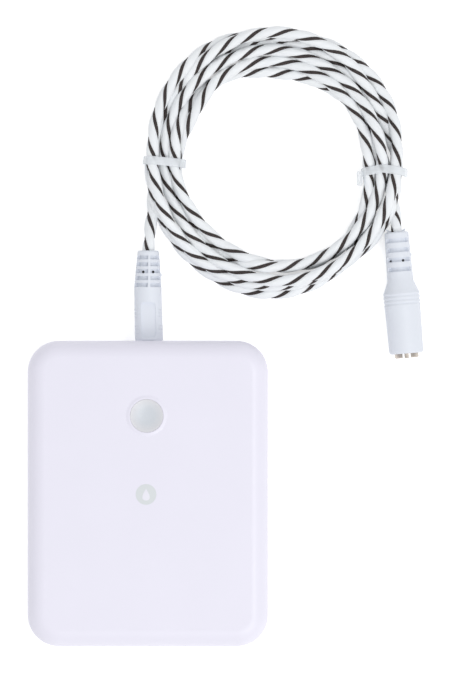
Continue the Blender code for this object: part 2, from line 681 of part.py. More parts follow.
def make_battery_contacts():
    """Link plate at one end, two terminal plates at the other, and a spring for each cell."""
    metal = (0.80, 0.80, 0.80)
    spread = SPRING_BASE_RADIUS + SPRING_WIRE
    finished("battery_link_plate",
             block((2 * (CELL_X + spread), PLATE_THICKNESS, PLATE_HEIGHT),
                   (0.0, BAY_START + GAP + PLATE_THICKNESS / 2, CELL_Z)), metal, 0.3, 1.0)
    for name, side in (("battery_positive_plate", -1), ("battery_negative_plate", 1)):
        finished(name, block((2 * spread, PLATE_THICKNESS, PLATE_HEIGHT),
                             (side * CELL_X, BAY_END - GAP - PLATE_THICKNESS / 2, CELL_Z)),
                 metal, 0.3, 1.0)
    starts = {"battery_spring_1": (-CELL_X, BAY_START + 2 * GAP + PLATE_THICKNESS, 1.0),
              "battery_spring_2": (CELL_X, BAY_END - 2 * GAP - PLATE_THICKNESS, -1.0)}
    count = SPRING_TURNS * SPRING_STEPS
    for name, (place_x, place_y, heading) in starts.items():
        points = []
        for step in range(count + 1):
            share = step / count
            radius = SPRING_BASE_RADIUS + (SPRING_TOP_RADIUS - SPRING_BASE_RADIUS) * share
            angle = 2 * math.pi * step / SPRING_STEPS
            rise = SPRING_WIRE + (SPRING_LENGTH - 2 * SPRING_WIRE) * share
            points.append((place_x + radius * math.cos(angle), place_y + heading * rise,
                           CELL_Z + radius * math.sin(angle)))
        tube(name, points, SPRING_WIRE, metal, 1, 0.3, 1.0)


def make_battery_leads():
    """Two short wires from the terminal plates over the tray's wall to the board."""
    level = BOARD_HIGH + GAP + LEAD_WIRE
    board_edge = BOARD_CENTRE_Y - BOARD_LENGTH / 2
    leads = {"battery_lead_1": (-CELL_X, (0.55, 0.03, 0.02)),
             "battery_lead_2": (CELL_X, (0.03, 0.03, 0.03))}
    for name, (place_x, colour) in leads.items():
        route = (Vector((place_x, BAY_END, level)),
                 Vector((place_x, (BAY_END + board_edge) / 2, level + LEAD_ARCH)),
                 Vector((place_x, board_edge + LEAD_ON_BOARD, level)))
        tube(name, smooth_route(route, 4), LEAD_WIRE, colour)


# Plug and rope

def along(origin_x, origin_y, origin_z, heading):
    """Turns +Z of a turned shape onto a level heading in degrees, measured from +X."""
    return (at(origin_x, origin_y, origin_z) @ Matrix.Rotation(math.radians(heading), 4, "Z")
            @ Matrix.Rotation(math.pi / 2, 4, "Y"))


def slot_segment(radius_in, radius_out, low, high, start, end):
    """A piece of a ring between two angles, measured from the shape's own +X axis."""
    outline = ((radius_in, low), (radius_out, low), (radius_out, high), (radius_in, high))
    steps = max(3, round((end - start) / SLOT_STEP))
    part = turned(outline, steps, ring=True, angle=end - start)
    return placed(part, Matrix.Rotation(math.radians(start), 4, "Z"))


def relief_slots(floors, first, pitch, width, reach, ranges):
    """Slots of a strain relief: a row for each floor radius, a slot for each range of angles."""
    slots = []
    for row, floor in enumerate(floors):
        low = first + row * pitch
        for start, end in ranges:
            slots.append(slot_segment(floor, reach, low, low + width, start, end))
    return slots


def pin_holes(axis, distance, offsets, reach):
    """Blind holes that the mould's locating pins leave beside a moulded body's axis."""
    holes = []
    for offset in offsets:
        centre = axis @ Vector((0.0, offset, distance))
        holes.append(placed(rod(PIN_HOLE_RADIUS, PIN_HOLE_BOTTOM, reach), at(*centre)))
    return holes


def make_plug():
    """Moulded plug with its slotted strain relief, and the three pieces of its pin."""
    axis = along(JACK_X, PLUG_START, JACK_Z, 90.0)
    edge = 0.4 * MM
    recess = PIN_RADIUS + GAP
    grip = PLUG_GRIP_LENGTH
    profile = ((0.0, PIN_IN_BODY + GAP), (recess, PIN_IN_BODY + GAP), (recess, 0.0),
               (PLUG_FOOT_RADIUS - edge / 3, 0.0), (PLUG_FOOT_RADIUS, edge / 3),
               (PLUG_RADIUS, PLUG_FOOT_LENGTH), (PLUG_RADIUS, grip),
               (RELIEF_END_RADIUS, PLUG_LENGTH - edge),
               (RELIEF_END_RADIUS - edge, PLUG_LENGTH), (0.0, PLUG_LENGTH))
    plug = finished("plug_overmould", placed(turned(profile, FINE_STEPS), axis),
                    (0.72, 0.75, 0.82), 0.5)
    ranges = [(quarter + start, quarter + end) for quarter in (0.0, 180.0)
              for start, end in ((-RELIEF_WALL_ANGLE, RELIEF_RIB_TURN - RELIEF_RIB_ANGLE),
                                 (RELIEF_RIB_TURN + RELIEF_RIB_ANGLE, RELIEF_WALL_ANGLE))]
    floors = []
    for row in range(RELIEF_ROWS):
        share = (RELIEF_FIRST_SLOT + row * RELIEF_PITCH + RELIEF_SLOT / 2) / RELIEF_LENGTH
        radius = PLUG_RADIUS + (RELIEF_END_RADIUS - PLUG_RADIUS) * share
        floors.append(radius - RELIEF_DEPTH)
    slots = relief_slots(floors, grip + RELIEF_FIRST_SLOT, RELIEF_PITCH, RELIEF_SLOT,
                         PLUG_RADIUS + CUT, ranges)
    cut(plug, "plug_slots", *[placed(slot, axis) for slot in slots])
    cut(plug, "plug_pin_holes", *pin_holes(axis, PLUG_HOLE_DISTANCE, PLUG_HOLE_OFFSETS,
                                           PLUG_RADIUS + CUT))
    floor = math.sqrt(PLUG_RADIUS ** 2 - (GRIP_WIDTH / 2) ** 2) - GRIP_DEPTH
    recesses = []
    for turn in (0.0, math.pi):
        shape = rounded_box(GRIP_WIDTH, GRIP_LENGTH, floor, PLUG_RADIUS + CUT, GRIP_CORNER)
        middle = PLUG_START + edge + GAP + GRIP_LENGTH / 2
        place = at(JACK_X, middle, JACK_Z) @ Matrix.Rotation(turn, 4, "Y")
        recesses.append(placed(shape, place))
    cut(plug, "plug_grips", *recesses)
    pin = -(PIN_LENGTH + GAP)
    shoulder = pin + TIP_LENGTH
    tip_radius = PIN_RADIUS - TIP_STEP
    tip = ((0.0, pin), (0.4 * PIN_RADIUS, pin), (tip_radius, pin + 0.35 * TIP_LENGTH),
           (0.72 * PIN_RADIUS, pin + 0.62 * TIP_LENGTH), (tip_radius, pin + 0.8 * TIP_LENGTH),
           (tip_radius, shoulder), (0.0, shoulder))
    finished("plug_tip", placed(turned(tip, ROUND_STEPS), axis), (0.80, 0.80, 0.78), 0.2, 1.0)
    ring = shoulder + GAP
    insulator = rod(tip_radius, ring, ring + INSULATOR_LENGTH, ROUND_STEPS)
    finished("plug_insulator", placed(insulator, axis), (0.05, 0.05, 0.05), 0.5)
    sleeve = ring + INSULATOR_LENGTH + GAP
    finished("plug_sleeve", placed(rod(PIN_RADIUS, sleeve, PIN_IN_BODY, ROUND_STEPS), axis),
             (0.80, 0.80, 0.78), 0.2, 1.0)


def make_rope():
    """Plain solids of the rope: its lead, its coil as one turned ring, and its tail."""
    white = (0.83, 0.86, 0.89)
    for name, points in (("rope_lead", LEAD_POINTS), ("rope_tail", TAIL_POINTS)):
        route = smooth_route([Vector(point) * MM for point in points], 2)
        tube(name, route, ROPE_RADIUS, white)
    low = COIL_LOW
    high = low + COIL_SECTION_HEIGHT
    arc = 3
    profile = []
    centres = ((COIL_HALF_WIDTH, low, -1, 1), (COIL_HALF_WIDTH, high, -1, -1),
               (COIL_INNER, high, 1, -1), (COIL_INNER, low, 1, 1))
    for quarter, (radius, height, inward, upward) in enumerate(centres):
        for step in range(arc + 1):
            angle = math.radians(90.0 * (quarter - 1 + step / arc))
            profile.append((radius + COIL_SECTION_ROUNDING * (inward + math.cos(angle)),
                            height + COIL_SECTION_ROUNDING * (upward + math.sin(angle))))
    ring = turned(profile, COIL_STEPS, ring=True)
    stretch = COIL_HALF_LENGTH / COIL_HALF_WIDTH - 1.0
    for vert in ring.verts:
        share = (vert.co.xy.length - COIL_INNER) / (COIL_HALF_WIDTH - COIL_INNER)
        vert.co.y *= 1.0 + stretch * share
    finished("rope_coil", placed(ring, at(*COIL_CENTRE)), white, 0.6)


def make_ties():
    """Two nylon ties, each a band round the coil with its head on the inner side."""
    width = COIL_HALF_WIDTH - COIL_INNER + 2 * GAP
    height = COIL_SECTION_HEIGHT + 2 * GAP
    middle = (COIL_HALF_WIDTH + COIL_INNER) / 2
    centre_z = COIL_LOW + COIL_SECTION_HEIGHT / 2
    for name, angle in TIE_ANGLES.items():
        place = (at(*COIL_CENTRE, centre_z) @ Matrix.Rotation(math.radians(angle), 4, "Z")
                 @ at(middle, 0.0))
        upright = place @ Matrix.Rotation(math.pi / 2, 4, "X")
        rounding = COIL_SECTION_ROUNDING - 2 * GAP
        band = rounded_box(width + 2 * TIE_THICKNESS, height + 2 * TIE_THICKNESS,
                           -TIE_WIDTH / 2, TIE_WIDTH / 2, rounding + TIE_THICKNESS)
        tie = finished(name, placed(band, upright), (0.75, 0.80, 0.83), 0.35)
        head_x = -(width + TIE_THICKNESS + TIE_HEAD.x) / 2 + TIE_HEAD_EDGE
        head = block(TIE_HEAD, (head_x, 0.0, 0.0), TIE_HEAD_EDGE)
        grow(tie, name + "_head", placed(head, place))
        room = rounded_box(width, height, -TIE_WIDTH / 2 - CUT, TIE_WIDTH / 2 + CUT, rounding)
        cut(tie, name + "_room", placed(room, upright))


def make_socket():
    """Moulded line socket with its metal crown and what sits inside the crown."""
    axis = along(*SOCKET_START, SOCKET_Z, SOCKET_HEADING)
    edge = 0.4 * MM
    ridge = SOCKET_BODY_RADIUS + SOCKET_RIDGE_HEIGHT
    groove = SOCKET_BODY_RADIUS - SOCKET_RIDGE_HEIGHT
    profile = [(0.0, 0.0), (SOCKET_RELIEF_RADIUS - edge, 0.0), (SOCKET_RELIEF_RADIUS, edge),
               (SOCKET_NECK_RADIUS, SOCKET_NECK_END)]
    for number in range(SOCKET_RIDGES):
        start = SOCKET_BODY_START + number * SOCKET_RIDGE_PITCH
        profile.append((groove, start))
        profile.append((ridge, start + 0.35 * SOCKET_RIDGE_PITCH))
        profile.append((ridge, start + 0.65 * SOCKET_RIDGE_PITCH))
    profile.append((SOCKET_BODY_RADIUS, SOCKET_BODY_START + SOCKET_RIDGES * SOCKET_RIDGE_PITCH))
    room = CROWN_RADIUS + GAP
    depth = SOCKET_LENGTH - CROWN_DEPTH - GAP
    profile += [(SOCKET_MOUTH_RADIUS, SOCKET_LENGTH - 2 * edge),
                (SOCKET_MOUTH_RADIUS - edge / 2, SOCKET_LENGTH - edge / 2),
                (SOCKET_MOUTH_RADIUS - 1.5 * edge, SOCKET_LENGTH), (room, SOCKET_LENGTH),
                (room, depth), (0.0, depth)]
    socket = finished("socket_overmould", placed(turned(profile, FINE_STEPS), axis),
                      (0.72, 0.75, 0.82), 0.5)
    ranges = [(side - SOCKET_WALL_ANGLE, side + SOCKET_WALL_ANGLE) for side in (0.0, 180.0)]
    slots = relief_slots([SOCKET_FLOOR_RADIUS] * SOCKET_ROWS, SOCKET_ROW_START,
                         SOCKET_ROW_PITCH, SOCKET_SLOT, SOCKET_RELIEF_RADIUS + CUT, ranges)
    cut(socket, "socket_slots", *[placed(slot, axis) for slot in slots])
    cut(socket, "socket_pin_holes", *pin_holes(axis, SOCKET_HOLE_DISTANCE, SOCKET_HOLE_OFFSETS,
                                               SOCKET_RELIEF_RADIUS + CUT))
    inner = PIN_RADIUS + GAP
    low = SOCKET_LENGTH - CROWN_DEPTH
    high = SOCKET_LENGTH + CROWN_PROUD
    tube_wall = ((inner, low), (CROWN_RADIUS, low), (CROWN_RADIUS, high - GAP),
                 (CROWN_RADIUS - GAP, high), (inner, high))
    crown = finished("socket_crown", placed(turned(tube_wall, ROUND_STEPS, ring=True), axis),
                     (0.78, 0.70, 0.50), 0.25, 1.0)
    slot_depth = 3 * CROWN_PROUD
    slits = []
    for side in (1, -1):
        size = (2 * CROWN_RADIUS + CUT, CROWN_SLOT, slot_depth + CUT)
        middle = (0.0, side * CROWN_SLOT_OFFSET, high - slot_depth / 2 + CUT / 2)
        slits.append(placed(block(size, middle), axis))
    cut(crown, "crown_slits", *slits)
    seat = low + SOCKET_CONTACT
    finished("socket_insulator", placed(rod(PIN_RADIUS, low, seat, ROUND_STEPS), axis),
             (0.08, 0.08, 0.08), 0.5)
    finished("socket_tip_contact",
             placed(rod(PIN_RADIUS / 2, seat + GAP, seat + SOCKET_CONTACT), axis),
             (0.80, 0.66, 0.36), 0.3, 1.0)


def main():
    """Builds every piece."""
    for obj in list(bpy.data.objects):
        bpy.data.objects.remove(obj)
    make_front_cover()
    make_rear_cover()
    make_seal()
    make_feet()
    make_screws()
    make_board()
    make_chips()
    make_button()
    make_jack()
    make_cradle()
    make_cells()
    make_battery_contacts()
    make_battery_leads()
    make_plug()
    make_rope()
    make_ties()
    make_socket()


main()
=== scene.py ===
import math

import bmesh
import bpy
from mathutils import Matrix, Vector


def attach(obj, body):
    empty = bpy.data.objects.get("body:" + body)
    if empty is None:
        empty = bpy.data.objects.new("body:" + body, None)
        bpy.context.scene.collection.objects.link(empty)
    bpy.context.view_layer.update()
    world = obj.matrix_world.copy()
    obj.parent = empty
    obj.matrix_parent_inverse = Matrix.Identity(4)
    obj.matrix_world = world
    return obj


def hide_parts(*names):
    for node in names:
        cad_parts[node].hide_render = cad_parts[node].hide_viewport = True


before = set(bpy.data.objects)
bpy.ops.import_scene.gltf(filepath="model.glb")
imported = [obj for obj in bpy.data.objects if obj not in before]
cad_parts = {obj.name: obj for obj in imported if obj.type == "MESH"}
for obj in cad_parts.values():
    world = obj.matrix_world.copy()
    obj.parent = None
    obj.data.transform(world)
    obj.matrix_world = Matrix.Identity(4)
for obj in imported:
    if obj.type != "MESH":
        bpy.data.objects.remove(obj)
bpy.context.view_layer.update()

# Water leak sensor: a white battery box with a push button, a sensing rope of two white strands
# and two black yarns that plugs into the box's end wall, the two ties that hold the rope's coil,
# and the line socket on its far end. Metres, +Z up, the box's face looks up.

MM = 0.001

# Case
CASE_WIDTH = 72.0 * MM
CASE_LENGTH = 91.5 * MM
CASE_FACE = 24.5 * MM
CASE_SPLIT = 4.8 * MM
CASE_CORNER = 9.3 * MM
CASE_ROUNDING = 5.1 * MM
CASE_WALL = 2.6 * MM
CORNER_STEPS = 20
ROUNDING_STEPS = 12

# Button with its dish, the hole in the face and the lip round the hole
BUTTON_X = -0.35 * MM
BUTTON_Y = 23.3 * MM
BUTTON_RIM = 4.96 * MM
BUTTON_EDGE = 0.1 * MM
BUTTON_TOP = 24.68 * MM
BUTTON_FOOT = 20.9 * MM
BUTTON_DISH = 1.1 * MM
DISH_POWER = 2.4
DISH_STEPS = 8
BUTTON_HOLE = 4.98 * MM
HOLE_STEPS = 64
LIP_TOP = 24.76 * MM
LIP_EDGE = 0.18 * MM
ROUND_STEPS = 96

# Faces whose middle is nearer to the hole's than this share of its radius cover the hole
COVERS_HOLE = 0.9

# The lip's outer slope: distance from its top edge and height above the face, in millimetres
LIP_SLOPE = ((0.2, 0.27), (0.4, 0.2), (0.6, 0.12), (0.8, 0.05), (1.0, 0.0), (1.0, -0.5))

# Printed mark: a round patch with a drop on it, both a little sunk into the face
MARK_PLACE = (-0.525 * MM, -0.21 * MM)
MARK_RADIUS = 3.1 * MM
MARK_SUNK = 0.1 * MM
MARK_PROUD = 0.02 * MM
DROP_SIZE = 1.6 * MM
DROP_SUNK = 0.05 * MM
DROP_PROUD = 0.04 * MM
DROP_TAPER = 1.6
DROP_STRETCH = 1.15
DROP_STEPS = 40

# Plug in the end wall, and the edges of moulded and turned pieces
JACK_X = 0.1 * MM
JACK_Z = 9.5 * MM
PLUG_START = 46.05 * MM
PLUG_DRAWN_UP = 0.27 * MM
PLUG_FACE_DEPTH = 0.05 * MM
PLUG_RADIUS = 4.12 * MM
SOCKET_Z = 5.52 * MM
VINYL_EDGE = 0.1 * MM
METAL_EDGE = 0.08 * MM
FOOT_EDGE = 0.15 * MM

# The plug's slight bend: how far its middle lies to the right at a distance along it, in millimetres
PLUG_BEND = ((46.0, 0.2), (53.0, 0.03), (60.0, -0.18), (67.0, -0.02), (73.0, 0.0))

# Fine grip ribs on the plug's two sides: first rib of each group, spacing, number, size
GRIP_STARTS = (55.0 * MM, 50.2 * MM)
GRIP_PITCH = -1.0 * MM
GRIP_RIBS = 3
GRIP_PROUD = 0.16 * MM
GRIP_SUNK = 0.03 * MM
GRIP_WIDTH = 0.5 * MM
GRIP_STEPS = 6
SWEEP_STEPS = 12
GRIP_LOW = math.radians(30.0)
GRIP_SWEEP = math.radians(74.0)

# Nibs on the parting lines, dark discs of painted shade deep in the pin holes, and the flaps at the
# socket's rope end
NIBS = ((3.78 * MM, 65.45 * MM, JACK_Z), (78.85 * MM, 71.6 * MM, SOCKET_Z))
NIB_SIZE = (0.42 * MM, 0.6 * MM, 0.5 * MM)
# Each pin hole's dark disc of painted shade: place, top height and radius
PIN_HOLE_SHADES = ((-1.4 * MM, 66.4 * MM, 11.3 * MM, 0.41 * MM),
         (1.56 * MM, 66.4 * MM, 11.3 * MM, 0.41 * MM),
         (72.85 * MM, 69.62 * MM, 6.6 * MM, 0.27 * MM),
         (76.58 * MM, 69.89 * MM, 7.4 * MM, 0.41 * MM))
PIN_SHADE_LENGTH = 0.5 * MM
PIN_SHADE_STEPS = 24
FLAPS = (
    ((71.2, 79.2), (72.0, 79.1), (73.2, 78.5), (73.0, 77.9), (71.9, 77.9), (71.7, 78.6)),
    ((77.1, 79.65), (77.4, 79.3), (77.05, 78.7), (76.9, 78.1), (75.75, 78.1), (75.8, 78.85),
     (76.5, 79.15)),
)
FLAP_LEVELS = (5.3 * MM, 5.9 * MM)
FLAP_EDGE = 0.04 * MM

# Rope
HALF_LAY = 8.6 * MM
MIDDLE_TWIST = 60
COIL_CENTRE = Vector((37.92 * MM, 99.2 * MM))
ROPE_ON_FLOOR = 1.95 * MM
ROPE_OVER_TIE = 2.95 * MM
NESTING = 3.05 * MM
STEP_DEGREES = 5.0
STATION = 0.75 * MM

END_STEPS = 3
ROUTE_STEPS = 4

# Stretches of the rope this far round the coil from each other can lie on each other, and the
# stretch that runs on from the lead or into the tail doesn't rest on it
APART_DEGREES = 60.0
ENDS_DEGREES = 40.0

# The rope is lifted this near a tie's middle, and less and less over the next stretch
OVER_TIE_NEAR = 8.0 * MM
OVER_TIE_RAMP = 12.0 * MM

# How often the pile is worked through, and the lifting and smoothing in each round
PILE_ROUNDS = 4
LIFT_PASSES = 8
SMOOTH_PASSES = 3

# Section of the rope: two round strands side by side, and a flat yarn in each groove between them
STRAND_OFFSET = 0.85 * MM
STRAND_ACROSS = 1.05 * MM
STRAND_ALONG = 1.38 * MM
STRAND_STEPS = 9
YARN_OFFSET = 1.04 * MM
YARN_ACROSS = 0.74 * MM
YARN_ALONG = 0.5 * MM
YARN_STEPS = 8

# Each turn's distance from the coil's centre in millimetres, every 30 degrees clockwise from the left
TURNS = (
    (34.8, 33.6, 35.4, 36.45, 35.25, 32.4, 30.6, 32.85, 37.1, 39.2, 38.4, 37.5),
    (37.1, 36.0, 37.8, 39.2, 38.1, 35.25, 36.7, 37.5, 36.6, 36.85, 36.75, 36.3),
    (36.45, 38.45, 39.7, 38.4, 39.2, 38.7, 36.7, 36.15, 36.0, 35.35, 33.85, 32.7),
    (33.0, 33.6, 33.9, 34.05, 32.6, 32.05, 32.4, 32.35, 31.65, 31.25, 31.2, 30.3),
    (29.45, 28.2, 30.2, 30.55, 29.4, 28.65, 28.3, 30.6, 32.3, 30.7, 29.1, 28.75),
    (30.0, 30.6, 29.8, 27.1, 27.5),
)
FIRST_ANGLE = 180.0
KNOT_DEGREES = 30.0

# Which turn lies on which, lowest first, up to each angle round the coil
PILES = (
    (200.0, (0, 1, 2, 4, 3, 5)),
    (230.0, (0, 1, 2, 3, 5, 4)),
    (320.0, (0, 2, 1, 3, 5, 4)),
    (460.0, (5, 0, 1, 2, 4, 3)),
    (540.0, (0, 1, 3, 2, 4)),
)

# Half twists of the rope counted at places where a black yarn shows on top: turn, angle, count
TWISTS = ((0, 287.5, 0), (0, 445.0, 11), (0, 535.5, 18), (1, 248.0, 23), (1, 326.0, 29),
          (1, 384.5, 34), (1, 399.5, 35), (1, 416.0, 36), (1, 490.0, 42), (1, 530.5, 45),
          (2, 185.0, 46), (2, 237.0, 50), (2, 309.0, 56),
          (2, 356.5, 60), (2, 398.5, 63), (2, 453.0, 67), (2, 497.5, 70), (3, 183.0, 73),
          (3, 244.0, 77), (3, 301.0, 81), (3, 348.0, 84), (3, 410.0, 88), (3, 457.0, 91),
          (3, 487.0, 93), (4, 205.0, 98), (4, 239.5, 100), (4, 278.0, 102), (4, 312.0, 104),
          (4, 347.5, 106), (4, 383.0, 108), (4, 475.5, 114), (4, 510.0, 116), (4, 528.5, 117),
          (5, 185.5, 118), (5, 214.0, 120), (5, 259.0, 123), (5, 292.0, 125))

# Free stretches at the rope's two ends, in millimetres
LEAD = ((0.1, 71.8, 9.5), (0.1, 73.15, 9.5), (0.25, 74.9, 9.3), (0.5, 77.0, 8.5),
        (0.65, 79.1, 7.3), (0.85, 81.2, 6.2), (1.3, 84.0, 4.7), (1.45, 87.0, 3.4),
        (1.75, 90.9, 2.3), (2.35, 95.1, 1.95))
TAIL = ((54.9, 121.7, 1.95), (60.6, 117.2, 1.95), (65.0, 111.6, 1.95), (68.4, 105.1, 2.3),
        (71.1, 98.4, 2.9), (72.8, 92.4, 2.6), (73.7, 86.9, 3.4), (74.35, 82.3, 4.8),
        (74.54, 80.2, 5.3), (74.54, 79.4, 5.42), (74.54, 78.77, 5.52), (74.7, 76.8, 5.52))

# Ties: middle, heading in degrees, how far the ends bow, how far the band reaches sideways and how
# far it has slipped outwards
TIE_PLACES = {
    "left_cable_tie": (Vector((5.0 * MM, 99.74 * MM)), 174.6, 0.34 * MM, 1.75 * MM, -0.2 * MM),
    "right_cable_tie": (Vector((70.6 * MM, 97.5 * MM)), -0.6, -1.27 * MM, 2.03 * MM, 0.52 * MM),
}
TIE_WIDTH = 2.55 * MM
TIE_THICKNESS = 0.85 * MM
TIE_REACH = 1.45 * MM
TIE_STEPS = 48
TIE_EDGE = 0.2 * MM

# Only the rope within this distance of a tie's middle passes through it
TIE_SPAN = 12.0 * MM

# Tie heads: distance past the band's inner end, offset along the rope, width, length
TIE_HEADS = {
    "left_cable_tie": (0.17 * MM, 0.3 * MM, 1.7 * MM, 2.8 * MM),
    "right_cable_tie": (1.2 * MM, -3.05 * MM, 1.7 * MM, 4.35 * MM),
}
TIE_HEAD_HEIGHT = 4.2 * MM
TIE_HEAD_LIFT = 0.8 * MM
TIE_HEAD_EDGE = 0.3 * MM
TIE_MOUTH_WALL = 0.55 * MM
TIE_MOUTH_DEPTH = 0.4 * MM

# Camera: straight above, the picture's long side covers 673 steps of 0.3 mm at the sharp level
PICTURE_STEP = 0.3 * MM
PICTURE_HEIGHT = 673
SHARP_LEVEL = 12.0 * MM
PICTURE_CENTRE = (23.1 * MM, 47.03 * MM)
LENS = 800.0
FILM = 36.0

# Floor and sky: the floor's size and glow for the camera, and the sky's light on the object
FLOOR_SIZE = 3.0
FLOOR_GLOW = 0.5
SKY_LIGHT = 0.72

# Points this near are one point, in shapes made here and in copies of CAD nodes, and faces that
# meet at less than this angle in degrees are one face of a copy
SAME_PLACE = 0.001 * MM
SAME_CORNER = 0.002 * MM
FLAT_ANGLE = 0.5


# New objects and the camera

def in_scene(name, data):
    """A new object in the scene that holds the data."""
    holder = bpy.data.objects.new(name, data)
    bpy.context.scene.collection.objects.link(holder)
    return holder


def set_up_camera():
    """Puts the camera straight above the scene with +Y at the picture's top."""
    camera = bpy.data.cameras.new("overhead_camera")
    camera.type = "PERSP"
    camera.lens = LENS
    camera.sensor_width = FILM
    camera.clip_start = 0.1
    camera.clip_end = 20.0
    holder = in_scene("overhead_camera", camera)
    distance = PICTURE_HEIGHT * PICTURE_STEP * LENS / FILM
    holder.location = (*PICTURE_CENTRE, SHARP_LEVEL + distance)
    bpy.context.scene.camera = holder


# Node building for finishes

class Finish:
    """A material that is put together node by node on the piece's own coordinates."""

    def __init__(self, name, colour, roughness, metallic=0.0):
        self.material = bpy.data.materials.new(name)
        self.material.use_nodes = True
        self.tree = self.material.node_tree
        self.shader = self.tree.nodes["Principled BSDF"]
        self.colour = colour
        self.set("Base Color", (*colour, 1.0))
        self.set("Roughness", roughness)
        self.set("Metallic", metallic)
        self.place = self.node("TexCoord").outputs["Object"]

    def set(self, socket, value):
        """Sets a constant on the shader's own socket."""
        self.shader.inputs[socket].default_value = value

    def link(self, output, node_input):
        """Joins two sockets."""
        self.tree.links.new(output, node_input)

    def node(self, kind, values=None):
        """A new shader node with values set on its inputs."""
        made = self.tree.nodes.new("ShaderNode" + kind)
        for socket, value in (values or {}).items():
            made.inputs[socket].default_value = value
        return made

    def away_from(self, x, y, reach):
        """How far a place lies from an upright line, as a share of the reach."""
        mapping = self.node("Mapping", {"Location": (-x / reach, -y / reach, 0.0),
                                        "Scale": (1.0 / reach, 1.0 / reach, 0.0)})
        self.link(self.place, mapping.inputs["Vector"])
        length = self.node("VectorMath")
        length.operation = "LENGTH"
        self.link(mapping.outputs["Vector"], length.inputs[0])
        return length.outputs["Value"]

    def follow_map(self):
        """Lays the patterns along the piece's own UV map instead of its coordinates."""
        self.place = self.node("UVMap").outputs["UV"]

    def stretch(self, scale):
        """Coordinates scaled by a different amount along each direction."""
        mapping = self.node("Mapping", {"Scale": scale})
        self.link(self.place, mapping.inputs["Vector"])
        return mapping.outputs["Vector"]

    def noise(self, scale, detail=2.0, place=None):
        """A soft random pattern, whose lumps are about one over the scale across."""
        lumps = self.node("TexNoise", {"Scale": scale, "Detail": detail})
        self.link(self.place if place is None else place, lumps.inputs["Vector"])
        return lumps.outputs["Fac"]

    def between(self, value, low, high, start=0.3, end=0.7):
        """Turns a pattern's values between start and end into low to high."""
        spread = self.node("MapRange", {"From Min": start, "From Max": end,
                                        "To Min": low, "To Max": high})
        self.link(value, spread.inputs["Value"])
        return spread.outputs["Result"]

    def blend(self, amount, first, second):
        """Mixes two colours by a pattern; either may be an output or a colour."""
        mix = self.node("Mix")
        mix.data_type = "RGBA"
        self.link(amount, mix.inputs["Factor"])
        for colour, socket in ((first, mix.inputs["A"]), (second, mix.inputs["B"])):
            if isinstance(colour, tuple):
                socket.default_value = (*colour, 1.0)
            else:
                self.link(colour, socket)
        return mix.outputs["Result"]

    def paint(self, colour):
        """Gives the shader its pattern of colour."""
        self.link(colour, self.shader.inputs["Base Color"])

    def polish(self, value):
        """Gives the shader its pattern of roughness."""
        self.link(value, self.shader.inputs["Roughness"])

    def emboss(self, height, depth):
        """Raises the surface by a pattern of the given depth in metres; calls add up."""
        bump = self.node("Bump", {"Strength": 1.0, "Distance": depth})
        self.link(height, bump.inputs["Height"])
        normal = self.shader.inputs["Normal"]
        if normal.is_linked:
            self.link(normal.links[0].from_socket, bump.inputs["Normal"])
        self.link(bump.outputs["Normal"], normal)

    def let_light_in(self, weight, reach):
        """Lets a share of the light in, which comes out again up to a distance away."""
        self.set("Subsurface Weight", weight)
        self.set("Subsurface Radius", (1.0, 1.0, 1.0))
        self.set("Subsurface Scale", reach)

    def mottle(self, scale, amount):
        """Lets the colour drift a little darker and lighter over the piece."""
        darker = tuple(channel * (1.0 - amount) for channel in self.colour)
        lighter = tuple(min(1.0, channel * (1.0 + amount)) for channel in self.colour)
        self.paint(self.blend(self.between(self.noise(scale), 0.0, 1.0), darker, lighter))


# Finishes

def moulded_plastic(name, colour, roughness, grain, depth, mottling=0.01):
    """Injection-moulded plastic: fine spark-erosion grain and a faint drift of colour."""
    finish = Finish(name, colour, roughness)
    finish.mottle(60.0, mottling)
    finish.polish(finish.between(finish.noise(grain / 3.0), roughness - 0.05, roughness + 0.05))
    finish.emboss(finish.noise(grain, 3.0), depth)
    return finish


def case_plastic():
    """The case's satin white plastic with its lavender cast."""
    finish = moulded_plastic("case_plastic", (0.84, 0.82, 0.915), 0.4, 2600.0, 0.012 * MM, 0.006)
    finish.set("Coat Weight", 0.06)
    finish.set("Coat Roughness", 0.3)
    return finish


def button_plastic():
    """The button's milky light-guide plastic, with a painted highlight: its colour turns paler and
    warmer towards the rim, where the dished edge catches the light.
    """
    finish = moulded_plastic("button_plastic", (0.66, 0.69, 0.73), 0.35, 1800.0, 0.006 * MM)
    # Painted highlight: the colour is blended paler and warmer towards the rim, standing for the
    # light on the dished edge
    rim = finish.between(finish.away_from(BUTTON_X, BUTTON_Y, BUTTON_RIM), 0.0, 1.0, 0.45, 1.0)
    finish.paint(finish.blend(rim, (0.66, 0.69, 0.73), (0.77, 0.765, 0.79)))
    finish.let_light_in(0.15, 2.0 * MM)
    return finish


def plug_vinyl():
    """Soft pale grey-blue vinyl of the moulded plug and socket."""
    finish = moulded_plastic("plug_vinyl", (0.78, 0.81, 0.868), 0.5, 2200.0, 0.012 * MM, 0.01)
    finish.let_light_in(0.05, 1.0 * MM)
    return finish


def rope_fibre():
    """White strands spun from fine filaments that run along them."""
    finish = Finish("rope_fibre", (0.87, 0.895, 0.915), 0.6)
    finish.follow_map()
    filaments = finish.noise(1.0, 3.0, finish.stretch((900.0, 26.0, 1.0)))
    streaks = finish.noise(1.0, 2.0, finish.stretch((120.0, 9.0, 1.0)))
    finish.paint(finish.blend(finish.between(streaks, 0.0, 1.0), (0.865, 0.885, 0.905),
                              (0.91, 0.93, 0.94)))
    finish.polish(finish.between(filaments, 0.5, 0.7))
    finish.emboss(filaments, 0.05 * MM)
    finish.let_light_in(0.3, 1.0 * MM)
    finish.set("Sheen Weight", 0.15)
    finish.set("Sheen Roughness", 0.4)
    return finish


